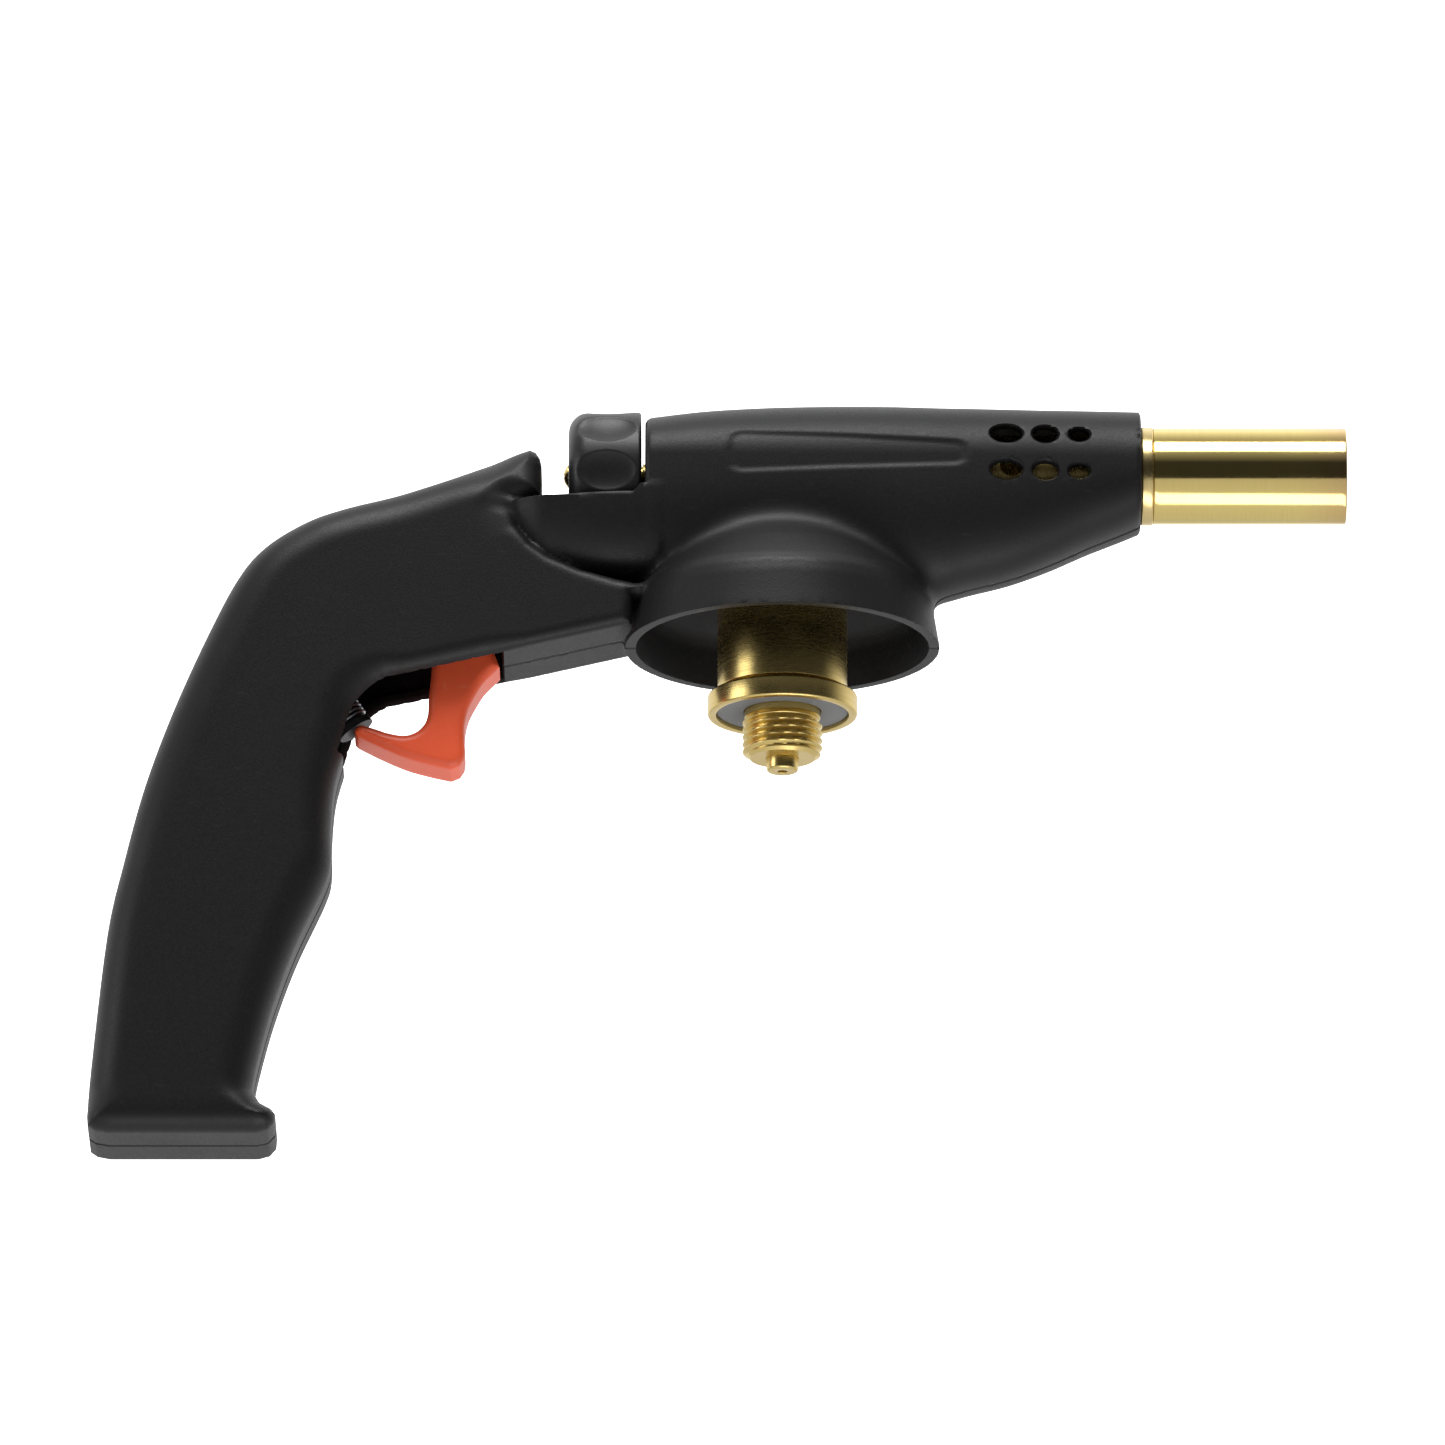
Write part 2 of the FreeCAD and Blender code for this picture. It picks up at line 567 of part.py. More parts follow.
rear_x = cells.knob_rear
front_x = cells.knob_front
knob_r = cells.knob_radius
knob_steps = 5
edge = [(rear_x + cells.knob_round * (1 - math.cos(math.pi / 2 * step / knob_steps)),
         knob_r - cells.knob_round * (1 - math.sin(math.pi / 2 * step / knob_steps))) for step in range(knob_steps + 1)]
knob_blank = turned("knob_blank", [(rear_x + 1.6, 1.0), (rear_x + 3, 1.0), (rear_x + 3, cells.spindle_radius - 0.5),
                                   (front_x - 0.2, cells.spindle_radius - 0.5), (front_x - 0.2, 5.0),
                                   (rear_x + 4, 5.0),
                                   (rear_x + 4, knob_r - 3.4), (front_x, knob_r - 3.4),
                                   (front_x, knob_r - 0.6),
                                   (front_x - 0.6, knob_r)] + edge[::-1] + [(rear_x, 2.6),
                                                                            (rear_x + 1.6, 2.6)], kept=False)
dimple_rise = 1.9
dimple_middle = -35.2
dimple_phase = math.radians(11.6)
dimple_tools = []
for index in range(int(cells.dimples.value)):
    turn = 2 * math.pi * index / cells.dimples.value + dimple_phase
    out = FreeCAD.Vector(0, math.cos(turn), math.sin(turn))
    dimple = doc.addObject("Part::Ellipsoid", f"dimple_{index}")
    dimple.Radius1 = dimple_rise + cells.dimple_depth.value
    dimple.Radius2 = 7.3
    dimple.Radius3 = 6.0
    bind(dimple, "Radius1", cells.dimple_depth + dimple_rise)
    place = spot(dimple_middle, 0.0) + out * (knob_r.value + dimple_rise)
    spin = FreeCAD.Rotation(along, math.degrees(turn) - 90)
    dimple.Placement = FreeCAD.Placement(place, spin)
    dimple_tools.append(dimple)
cut("valve_knob", knob_blank, joined("dimples", dimple_tools), kept=True)
turned("knob_screw", [(rear_x - 1.0, 0), (rear_x + 11, 0), (rear_x + 11, 1.0), (rear_x + 1.6, 1.0), (rear_x + 1.6, 2.2),
                      (rear_x - 0.2, 2.2), (rear_x - 0.8, 1.6), (rear_x - 1.0, 0.8)])

# ---------------------------------------------------------------- inlet and regulator

lip = cells.cup_height
turned("inlet_sleeve", [(lip, cells.sleeve_bore), (24.5, cells.sleeve_bore), (26.4, cells.boss_radius),
                        (cells.sleeve_top, cells.boss_radius), (cells.sleeve_top, cells.sleeve_radius - 0.6),
                        (cells.sleeve_top - 0.6, cells.sleeve_radius), (lip + 1.0, cells.sleeve_radius),
                        (lip + 0.7, cells.sleeve_radius - 0.6), (lip, cells.sleeve_radius - 0.6)], axis="Z")
washer_top = cells.washer_recess + cells.washer_thick
nut_radius = 9.0
turned("seal_cup", [(0, cells.cup_radius - 0.4), (0.4, cells.cup_radius), (lip - 0.4, cells.cup_radius), (lip, cells.cup_radius - 0.4),
                    (lip, cells.sleeve_bore), (8.2, cells.sleeve_bore), (8.2, nut_radius),
                    (washer_top + 1.4, nut_radius),
                    (washer_top + 1.4, cells.neck_radius), (washer_top, cells.neck_radius),
                    (washer_top, cells.washer_radius),
                    (0, cells.washer_radius)], axis="Z")
tube("seal_washer", cells.washer_recess, washer_top, cells.washer_radius, cells.neck_radius + 0.1, axis="Z")

# Male thread: V ridges with a flat crest an eighth of the pitch wide, drawn as rings.
pitch = cells.thread_pitch
crest = cells.thread_radius
root = cells.thread_root
thread_top = -1.0
ridges = []
for index in range(int(cells.thread_turns.value)):
    level = thread_top - index * pitch.value
    ridges += [(level, root), (level - 0.555, crest), (level - 0.745, crest), (level - 1.3, root)]
thread_end = thread_top - cells.thread_turns.value * pitch.value + 0.2
bore = cells.pin_radius
turned("threaded_nipple", [(washer_top + 5.0, bore + 1.6), (washer_top + 5.0, nut_radius), (washer_top + 1.4, nut_radius),
                           (washer_top + 1.4, cells.neck_radius),
                           (thread_top + 0.4, cells.neck_radius)] + ridges
       + [(thread_end - 0.6, root - 0.6), (thread_end - 0.6, bore), (washer_top + 1.0, bore),
          (washer_top + 1.0, bore + 1.6)],
       axis="Z")
pin_top = washer_top + 1.0
turned("depressor_pin", [(cells.pin_end, 1.0), (pin_top, 1.0), (pin_top, bore), (cells.pin_end + 0.6, bore),
                         (cells.pin_end, bore - 0.6)], axis="Z")
rod("inlet_filter", washer_top + 1.0, washer_top + 4.0, cells.pin_radius + 1.6, axis="Z")

groove = 9.0
turned("regulator_piston", [(9.4, 1.0), (17.5, 1.0), (17.5, 5.0), (14.5, 5.0), (14.5, cells.sleeve_bore - 0.1),
                            (13.6, cells.sleeve_bore - 0.1), (13.6, groove), (11.6, groove),
                            (11.6, cells.sleeve_bore - 0.1),
                            (10.6, cells.sleeve_bore - 0.1), (10.6, 2.0), (9.4, 2.0)], axis="Z")
turned("piston_seal", [(11.7, groove), (13.5, groove), (13.5, cells.sleeve_bore - 0.3), (13.2, cells.sleeve_bore),
                       (12.0, cells.sleeve_bore), (11.7, cells.sleeve_bore - 0.3)], axis="Z")


def coil(label, radius, wire, length, turns, place, direction):
    """A compression spring, drawn as one ring for each turn."""
    rings = []
    for turn in range(turns):
        rise = wire + (length - 2 * wire) * turn / (turns - 1)
        rings.append(Part.makeTorus(radius, wire, FreeCAD.Vector(0, 0, rise)))
    spring = fixed_shape(label, Part.makeCompound(rings), kept=True)
    spring.Placement = FreeCAD.Placement(place, FreeCAD.Rotation(up, direction))
    return spring


coil("regulator_spring", 7.3, 0.6, 9.6, 6, FreeCAD.Vector(0, 0, 14.7), up)

# ---------------------------------------------------------------- trigger and igniter

# Side view of the trigger: the finger hook, the bar that swings into the grip and the arm up to the pivot.
heel = (-84.3, -54.9)
heel_radius = 1.4
trigger_top = [(-70.7, -48.8), (-70.1, -41.0), (-65.5, -33.8), (-60.0, -32.6), (-57.6, -34.4),
               (-57.6, -38.5), (-56.5, -41.5)]
hook_curve = [(-56.5, -41.5), (-59.7, -44.7), (-62.9, -50.5), (-63.7, -56.0), (-63.4, -59.3)]
trigger_foot = [(-63.4, -59.3), (-64.1, -61.4), (-66.5, -62.9)]
lower_curve = [(-66.5, -62.9), (-70.5, -62.0), (-75.3, -60.6), (-80.5, -58.3), (-84.9, -56.0)]
heel_curve = [(-84.9, -56.0), (heel[0] - heel_radius, heel[1] + 0.2), (heel[0] + 0.2, heel[1] + heel_radius)]
inner_curve = [(heel[0] + 0.2, heel[1] + heel_radius), (-78.9, -55.2), (-75.7, -55.8), (-71.9, -53.8),
               (-70.7, -48.8)]


def trigger_shape():
    edges = Part.makePolygon([spot(x, drop) for x, drop in trigger_top]).Edges
    edges += [spline(hook_curve)] + Part.makePolygon([spot(x, drop) for x, drop in trigger_foot]).Edges
    edges += [spline(lower_curve), spline(heel_curve), spline(inner_curve)]
    face = Part.Face(Part.Wire(Part.__sortEdges__(edges)))
    half = cells.trigger_half.value
    slab = face.extrude(across * 2 * half)
    slab.translate(across * -half)
    front_edges = [edge for edge in slab.Edges if edge.BoundBox.YLength < 0.01 and edge.BoundBox.XMax < -55
                   and edge.BoundBox.ZMax < cells.axis_height.value - 41.0 and edge.BoundBox.XMin > -64.5
                   and edge.BoundBox.ZLength > 10]
    return slab.makeFillet(1.8, front_edges)


trigger_blank = fixed_shape("trigger_blank", trigger_shape())
trigger_hole = posts("trigger_hole", pin_spot, cells.pivot_radius + cells.running, -10.0, 10.0)
cut("trigger", trigger_blank, trigger_hole[0], kept=True)
trigger_pin = posts("trigger_pin", pin_spot, cells.pivot_radius, -11.5, 11.5)[0]
trigger_pin.Label = "trigger_pin"
nodes.append(trigger_pin)

lean = math.radians(cells.press_lean.value)
press = FreeCAD.Vector(-math.sin(lean), 0, math.cos(lean))
sideways = FreeCAD.Vector(math.cos(lean), 0, math.sin(lean))
heel_place = spot(heel[0], heel[1])
contact = heel_place + press * heel_radius


def on_press(distance, out=0.0):
    """A point along the igniter's own axis, measured from the trigger's heel."""
    return contact + press * distance + sideways * out


plunger_radius = 3.0
body_start = 8.0
body_length = 23.0
cap = cylinder("plunger_cap", 3.8, 1.4, on_press(0.3), press)
stem = cylinder("plunger_stem", plunger_radius, body_start + 1.7, on_press(1.7), press)
joined("piezo_plunger", [cap, stem], kept=True)
box_depth = 11.0
box_width = 9.4
piezo_block = doc.addObject("Part::Box", "piezo_block")
piezo_block.Length = box_depth
piezo_block.Width = box_width
piezo_block.Height = body_length
piezo_block.Placement = FreeCAD.Placement(on_press(body_start, -box_depth / 2) - across * box_width / 2,
                                          FreeCAD.Rotation(across, -cells.press_lean.value))
plunger_way = cylinder("plunger_way", plunger_radius + cells.running.value, 10.6, on_press(body_start - 1),
                       press)
cut("piezo_body", piezo_block, plunger_way, kept=True)
coil("piezo_spring", 3.45, 0.3, body_start - 2.1, 7, on_press(1.85), press)

# ---------------------------------------------------------------- ignition lead

# Straight runs joined by tangent arcs, from the igniter through the neck and beside the valve to the insulator.
lead_start = on_press(body_start + body_length - 4.0, box_depth / 2)
lead_route = [lead_start, lead_start + sideways * 8.0, spot(-74.0, -21.6, 2.0), spot(-56.0, -21.0, 4.0),
              spot(-38.0, -20.6, 6.6),
              spot(-25.0, -16.6, 8.2), spot(-15.0, -8.4, 10.4), spot(0.0, -6.2, 11.3), spot(14.0, -6.8, 10.2),
              spot(24.5, -5.5, 5.5), spot(31.0, insulator_drop, 0.9),
              spot(cells.mixer_start.value, insulator_drop)]


def lead_path(route):
    """A wire of straight runs joined by tangent arcs, each as large as its two runs allow."""
    edges = []
    cursor = route[0]
    for before, corner, after in zip(route, route[1:], route[2:]):
        back = before - corner
        forward = after - corner
        turn = math.pi - back.getAngle(forward)
        reach = 0.45 * min(back.Length, forward.Length)
        radius = reach / math.tan(turn / 2)
        print(f"lead arc radius {radius:.1f}")
        back.normalize()
        forward.normalize()
        arc_start = corner + back * reach
        arc_end = corner + forward * reach
        inward = (back + forward).normalize()
        middle = corner + inward * (math.hypot(radius, reach) - radius)
        edges.append(Part.LineSegment(cursor, arc_start).toShape())
        edges.append(Part.Arc(arc_start, middle, arc_end).toShape())
        cursor = arc_end
    edges.append(Part.LineSegment(cursor, route[-1]).toShape())
    return Part.Wire(edges)


path = lead_path(lead_route)
lead_section = Part.Wire(Part.makeCircle(cells.lead_radius.value, lead_route[0], sideways))
lead_shape = path.makePipeShell([lead_section], True, False)
lead_area = math.pi * cells.lead_radius.value**2
print(f"lead volume {lead_shape.Volume:.1f}, section times length {lead_area * path.Length:.1f}")
fixed_shape("ignition_lead", lead_shape, kept=True)

# ---------------------------------------------------------------- checks and files

doc.recompute()
troubles = [item.Label for item in doc.Objects if "Invalid" in item.State or "Error" in item.State]
for node in nodes:
    shape = node.Shape
    if shape.isNull() or not shape.isValid():
        troubles.append(node.Label)
        continue
    print(f"{node.Label}: {len(shape.Solids)} solid, {shape.Volume:.0f} mm3")
if troubles:
    raise SystemExit(f"failed: {troubles}")
for node in nodes:
    node.Shape.exportStep(f"parts/{node.Label}.step")
print(f"{len(nodes)} nodes written")
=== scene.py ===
import json
import math

import bpy
import numpy as np
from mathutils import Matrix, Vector


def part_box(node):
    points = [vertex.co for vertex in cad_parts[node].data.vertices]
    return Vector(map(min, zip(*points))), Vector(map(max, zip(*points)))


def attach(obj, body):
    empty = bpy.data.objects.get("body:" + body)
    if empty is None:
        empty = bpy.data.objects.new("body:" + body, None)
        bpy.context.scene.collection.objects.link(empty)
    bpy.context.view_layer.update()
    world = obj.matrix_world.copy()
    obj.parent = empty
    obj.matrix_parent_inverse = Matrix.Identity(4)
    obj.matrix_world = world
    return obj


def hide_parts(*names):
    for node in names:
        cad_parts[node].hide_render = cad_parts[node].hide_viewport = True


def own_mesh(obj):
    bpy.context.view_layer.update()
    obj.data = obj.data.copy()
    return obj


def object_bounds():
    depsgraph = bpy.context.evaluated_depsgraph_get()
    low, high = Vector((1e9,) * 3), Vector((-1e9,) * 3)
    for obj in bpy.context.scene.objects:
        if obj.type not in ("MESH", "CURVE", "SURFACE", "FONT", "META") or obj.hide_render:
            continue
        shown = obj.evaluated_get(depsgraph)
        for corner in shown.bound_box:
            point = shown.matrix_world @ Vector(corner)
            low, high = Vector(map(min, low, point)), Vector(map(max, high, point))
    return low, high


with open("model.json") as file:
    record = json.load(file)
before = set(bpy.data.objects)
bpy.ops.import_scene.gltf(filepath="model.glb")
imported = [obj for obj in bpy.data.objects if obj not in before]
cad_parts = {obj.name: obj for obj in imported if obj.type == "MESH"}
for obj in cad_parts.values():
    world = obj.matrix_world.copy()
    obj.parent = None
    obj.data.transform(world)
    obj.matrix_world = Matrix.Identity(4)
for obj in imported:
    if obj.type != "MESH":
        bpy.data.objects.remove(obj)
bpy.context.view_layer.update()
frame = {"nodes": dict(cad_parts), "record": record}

print("frame loaded", len(frame["nodes"]), "nodes")

# Shapes are worked out in millimetres and stored in metres.
mm = 0.001
# Which body each node rides on, and which material slot it has.
bodyOf = {node: body for body, nodes in frame["record"]["behaviour"]["bodies"].items() for node in nodes}
slotOf = {part["node"]: part["material_slot"] for part in frame["record"]["subparts"]}


# The middle, low side and high side of a node's box along one axis, in millimetres.
def mid(node, axis):
    low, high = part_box(node)
    return (low[axis] + high[axis]) / 2 / mm


def low(node, axis):
    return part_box(node)[0][axis] / mm


def high(node, axis):
    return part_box(node)[1][axis] / mm


axisZ = mid("burner_tube", 2)


# A mesh from points in millimetres and faces with equal numbers of sides, standing in for a node.
def makePiece(name, points, faces, node, material, sharp=35.0):
    mesh = bpy.data.meshes.new(name)
    faces = np.asarray(faces, np.int32)
    sides = faces.shape[1]
    mesh.vertices.add(len(points))
    mesh.vertices.foreach_set("co", (np.asarray(points, np.float64) * mm).astype(np.float32).ravel())
    mesh.loops.add(faces.size)
    mesh.loops.foreach_set("vertex_index", faces.ravel())
    mesh.polygons.add(len(faces))
    mesh.polygons.foreach_set("loop_start", np.arange(0, faces.size, sides, dtype=np.int32))
    mesh.polygons.foreach_set("loop_total", np.full(len(faces), sides, np.int32))
    mesh.update(calc_edges=True)
    mesh.validate()
    mesh.shade_smooth()
    mesh.set_sharp_from_angle(angle=math.radians(sharp))
    mesh.materials.append(material)
    piece = bpy.data.objects.new(name, mesh)
    bpy.context.scene.collection.objects.link(piece)
    for one in [node] if isinstance(node, str) else node:
        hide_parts(one)
    firstNode = node if isinstance(node, str) else node[0]
    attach(piece, bodyOf[firstNode])
    return piece


# A closed outline with its corners rounded. Each arc starts the rounding over the tangent of half the
# corner's angle away from the corner.
def roundedOutline(corners, steps=5):
    out = []
    count = len(corners)
    for index, corner in enumerate(corners):
        point = np.array(corner[:2], float)
        rounding = corner[2] if len(corner) > 2 else 0.0
        if rounding <= 0:
            out.append(point)
            continue
        before = np.array(corners[index - 1][:2], float) - point
        after = np.array(corners[(index + 1) % count][:2], float) - point
        before /= np.linalg.norm(before)
        after /= np.linalg.norm(after)
        half = math.acos(np.clip(before @ after, -1, 1)) / 2
        reach = rounding / math.tan(half)
        centre = point + (before + after) / np.linalg.norm(before + after) * rounding / math.sin(half)
        first = point + before * reach - centre
        last = point + after * reach - centre
        spread = math.pi - 2 * half
        for step in range(steps + 1):
            share = step / steps
            mix = math.sin((1 - share) * spread) * first + math.sin(share * spread) * last
            out.append(centre + mix / math.sin(spread))
    return np.array(out)


# Turns a closed outline about the barrel axis (X) or the thread axis (Z), each point at its radius times
# the angle's cosine and sine. wave(along, radius, angle) gives the radius of an uneven piece.
def lathe(name, outline, node, material, axis="X", turns=160, wave=None, sharp=35.0):
    outline = np.asarray(outline, float)
    angle = np.arange(turns) * 2 * math.pi / turns
    along = np.repeat(outline[:, :1], turns, 1)
    radius = np.repeat(outline[:, 1:2], turns, 1)
    around = np.repeat(angle[None, :], len(outline), 0)
    if wave:
        radius = wave(along, radius, around)
    if axis == "X":
        grid = np.stack([along, radius * np.cos(around), axisZ + radius * np.sin(around)], -1)
    else:
        grid = np.stack([radius * np.cos(around), radius * np.sin(around), along], -1)
    rows, columns = np.meshgrid(np.arange(len(outline)), np.arange(turns), indexing="ij")
    nextRow = (rows + 1) % len(outline)
    nextColumn = (columns + 1) % turns
    faces = np.stack([rows * turns + columns, rows * turns + nextColumn, nextRow * turns + nextColumn,
                      nextRow * turns + columns], -1).reshape(-1, 4)
    area = np.sum(outline[:, 0] * np.roll(outline[:, 1], -1) - np.roll(outline[:, 0], -1) * outline[:, 1])
    if (area > 0) == (axis == "X"):
        faces = faces[:, ::-1]
    makePiece(name, grid.reshape(-1, 3), faces, node, material, sharp)


# Signed distance to a closed outline: the nearest of its segments, negative inside by the crossing count.
def outlineDistance(px, pz, loop):
    px, pz = np.broadcast_arrays(px, pz)
    best = np.full(px.shape, 1e9)
    inside = np.zeros(px.shape, bool)
    for (ax, az), (bx, bz) in zip(loop, np.roll(loop, -1, 0)):
        ex, ez = bx - ax, bz - az
        length = ex * ex + ez * ez
        if length < 1e-12:
            continue
        wx, wz = px - ax, pz - az
        share = np.clip((wx * ex + wz * ez) / length, 0, 1)
        best = np.minimum(best, (wx - share * ex) ** 2 + (wz - share * ez) ** 2)
        crosses = (pz >= az) != (pz >= bz)
        if abs(ez) > 1e-12:
            inside ^= crosses & (px < ax + wz * ex / ez)
    return np.where(inside, -1, 1) * np.sqrt(best)


# A smooth curve through the points: a cubic between each two, whose slope at a point is half the step
# between its neighbours.
def throughPoints(points, steps=8):
    points = np.array(points, float)
    padded = np.vstack([2 * points[0] - points[1], points, 2 * points[-1] - points[-2]])
    out = []
    for index in range(len(points) - 1):
        p0, p1, p2, p3 = padded[index:index + 4]
        for step in range(steps):
            t = step / steps
            out.append(0.5 * (2 * p1 + (p2 - p0) * t + (2 * p0 - 5 * p1 + 4 * p2 - p3) * t ** 2
                              + (3 * p1 - p0 - 3 * p2 + p3) * t ** 3))
    out.append(points[-1])
    return np.array(out)


# Rises from 0 to 1 between start and end, as three times the share squared less twice its cube.
def smoothStep(start, end, value):
    share = np.clip((value - start) / (end - start), 0, 1)
    return share * share * (3 - 2 * share)


# The union of two distances: mixed by their difference over the size, less a little for the fillet.
def blendUnion(a, b, size):
    share = np.clip(0.5 + 0.5 * (b - a) / size, 0, 1)
    return b + (a - b) * share - size * share * (1 - share)


# The overlap of two distances with a rounded edge: near it, the root of both squares, less the rounding.
def roundOverlap(a, b, rounding):
    over = np.hypot(np.maximum(a + rounding, 0), np.maximum(b + rounding, 0))
    return np.minimum(np.maximum(a, b) + rounding, 0) + over - rounding


# Dual contouring: one point in each grid cell that the surface crosses, placed where the planes
# through the cell's crossings meet (by least squares), and one four-sided face for each crossed grid edge.
def contour(field, xs, ys, zs):
    grid = [np.asarray(values, float) for values in (xs, ys, zs)]
    shape = tuple(len(values) for values in grid)
    values = field(grid[0][:, None, None], grid[1][None, :, None], grid[2][None, None, :])
    values = np.broadcast_to(values, shape)
    cells = tuple(count - 1 for count in shape)
    cellCount = cells[0] * cells[1] * cells[2]
    matrix = np.zeros((cellCount, 6))
    right = np.zeros((cellCount, 3))
    middle = np.zeros((cellCount, 3))
    hits = np.zeros(cellCount)
    quads = []
    for axis in range(3):
        first = [slice(None)] * 3
        second = [slice(None)] * 3
        first[axis] = slice(0, -1)
        second[axis] = slice(1, None)
        a, b = values[tuple(first)], values[tuple(second)]
        where = np.argwhere((a < 0) != (b < 0))
        others = [one for one in range(3) if one != axis]
        keep = np.ones(len(where), bool)
        for one in others:
            keep &= (where[:, one] > 0) & (where[:, one] < shape[one] - 1)
        where = where[keep]
        start = a[tuple(where.T)]
        end = b[tuple(where.T)]
        ends = [grid[one][where[:, one]] for one in range(3)]
        step = np.diff(grid[axis])[where[:, axis]]
        lowShare, highShare = np.zeros(len(where)), np.ones(len(where))
        lowValue, highValue = start.copy(), end.copy()
        for _ in range(2):
            share = lowShare + (highShare - lowShare) * lowValue / (lowValue - highValue)
            probe = [ends[one] + (share * step if one == axis else 0) for one in range(3)]
            found = field(*probe)
            same = (found < 0) == (start < 0)
            lowShare, lowValue = np.where(same, share, lowShare), np.where(same, found, lowValue)
            highShare, highValue = np.where(same, highShare, share), np.where(same, highValue, found)
        share = lowShare + (highShare - lowShare) * lowValue / (lowValue - highValue + 1e-12)
        points = np.stack([ends[one] + (share * step if one == axis else 0) for one in range(3)], 1)
        reach = 0.02
        normal = np.zeros_like(points)
        for one in range(3):
            ahead, behind = points.copy(), points.copy()
            ahead[:, one] += reach
            behind[:, one] -= reach
            normal[:, one] = field(*ahead.T) - field(*behind.T)
        normal /= np.linalg.norm(normal, axis=1, keepdims=True) + 1e-12
        product = np.stack([normal[:, i] * normal[:, j] for i in range(3) for j in range(i, 3)], 1)
        along = normal * np.sum(normal * points, 1, keepdims=True)
        around = []
        for da, db in ((1, 1), (0, 1), (0, 0), (1, 0)):
            corner = where.copy()
            corner[:, others[0]] -= da
            corner[:, others[1]] -= db
            cell = (corner[:, 0] * cells[1] + corner[:, 1]) * cells[2] + corner[:, 2]
            around.append(cell)
            for column in range(6):
                matrix[:, column] += np.bincount(cell, product[:, column], cellCount)
            for column in range(3):
                right[:, column] += np.bincount(cell, along[:, column], cellCount)
                middle[:, column] += np.bincount(cell, points[:, column], cellCount)
            hits += np.bincount(cell, minlength=cellCount)
        around = np.stack(around, 1)
        flip = (start >= 0) if axis != 1 else (start < 0)
        around[flip] = around[flip][:, ::-1]
        quads.append(around)
    used = np.flatnonzero(hits)
    count = hits[used][:, None]
    centre = middle[used] / count
    six = matrix[used] / count
    full = np.stack([six[:, [0, 1, 2]], six[:, [1, 3, 4]], six[:, [2, 4, 5]]], 1)
    hold = 0.03
    full = full + hold * np.eye(3)
    solved = np.linalg.solve(full, (right[used] / count + hold * centre)[:, :, None])[:, :, 0]
    index = np.stack(np.unravel_index(used, cells), 1)
    for one in range(3):
        small, large = grid[one][index[:, one]], grid[one][index[:, one] + 1]
        solved[:, one] = np.clip(solved[:, one], small, large)
    number = np.full(cellCount, -1)
    number[used] = np.arange(len(used))
    faces = number[np.vstack(quads)]
    return solved, faces


# A node tree with short calls: node(kind, {input: value or socket}, setting=value). ramp maps start to end
# onto low to high in a straight line, and mix blends two colours by a share.
class Tree:
    def __init__(self, tree):
        self.tree = tree

    def node(self, kind, inputs=None, **settings):
        made = self.tree.nodes.new(kind)
        for key, value in settings.items():
            setattr(made, key, value)
        for key, value in (inputs or {}).items():
            if isinstance(value, bpy.types.NodeSocket):
                self.tree.links.new(value, made.inputs[key])
            else:
                made.inputs[key].default_value = value
        return made

    def ramp(self, value, start, end, low=0.0, high=1.0):
        made = self.node("ShaderNodeMapRange",
                         {"Value": value, "From Min": start, "From Max": end, "To Min": low,
                          "To Max": high})
        return made.outputs["Result"]

    def maths(self, operation, a, b=0.0):
        return self.node("ShaderNodeMath", {0: a, 1: b}, operation=operation).outputs[0]

    def mix(self, share, a, b):
        made = self.node("ShaderNodeMix", data_type="RGBA")
        for socket, value in ((made.inputs[0], share), (made.inputs[6], a), (made.inputs[7], b)):
            if isinstance(value, bpy.types.NodeSocket):
                self.tree.links.new(value, socket)
            else:
                socket.default_value = value
        return made.outputs[2]


# A group with named sockets: (name, kind, default) in and (name, kind) out.
def makeGroup(name, inputs, outputs, build):
    group = bpy.data.node_groups.new(name, "ShaderNodeTree")
    for label, kind, default in inputs:
        socket = group.interface.new_socket(label, in_out="INPUT", socket_type=kind)
        socket.default_value = default
    for label, kind in outputs:
        group.interface.new_socket(label, in_out="OUTPUT", socket_type=kind)
    tree = Tree(group)
    source = group.nodes.new("NodeGroupInput")
    sink = group.nodes.new("NodeGroupOutput")
    for label, socket in build(tree, source.outputs).items():
        group.links.new(socket, sink.inputs[label])
    return group


number = "NodeSocketFloat"
vector = "NodeSocketVector"


# Handling marks: smudges, specks of dust and scuffs, each the top of a noise times the amount.
def buildHandling(tree, given):
    smudge = tree.node("ShaderNodeTexNoise",
                       {"Vector": given["Position"], "Scale": 55.0, "Detail": 5.0, "Roughness": 0.6})
    speck = tree.node("ShaderNodeTexNoise", {"Vector": given["Position"], "Scale": 1400.0, "Detail": 2.0})
    stretched = tree.node("ShaderNodeMapping", {"Vector": given["Position"], "Scale": (180.0, 60.0, 900.0),
            "Rotation": (0.3, 0.5, 0.2)})
    scuff = tree.node("ShaderNodeTexNoise", {"Vector": stretched.outputs[0], "Scale": 1.0, "Detail": 3.0})
    smudgeShare = tree.ramp(smudge.outputs[0], 0.42, 0.68)
    speckShare = tree.ramp(speck.outputs[0], 0.70, 0.76)
    scuffShare = tree.ramp(scuff.outputs[0], 0.66, 0.74)
    return {"Smudge": tree.maths("MULTIPLY", smudgeShare, given["Amount"]),
            "Speck": tree.maths("MULTIPLY", speckShare, given["Amount"]),
            "Scuff": tree.maths("MULTIPLY", scuffShare, given["Amount"])}


handling = makeGroup("handlingMarks", [("Position", vector, (0, 0, 0)), ("Amount", number, 1.0)],
                     [("Smudge", number), ("Speck", number), ("Scuff", number)], buildHandling)


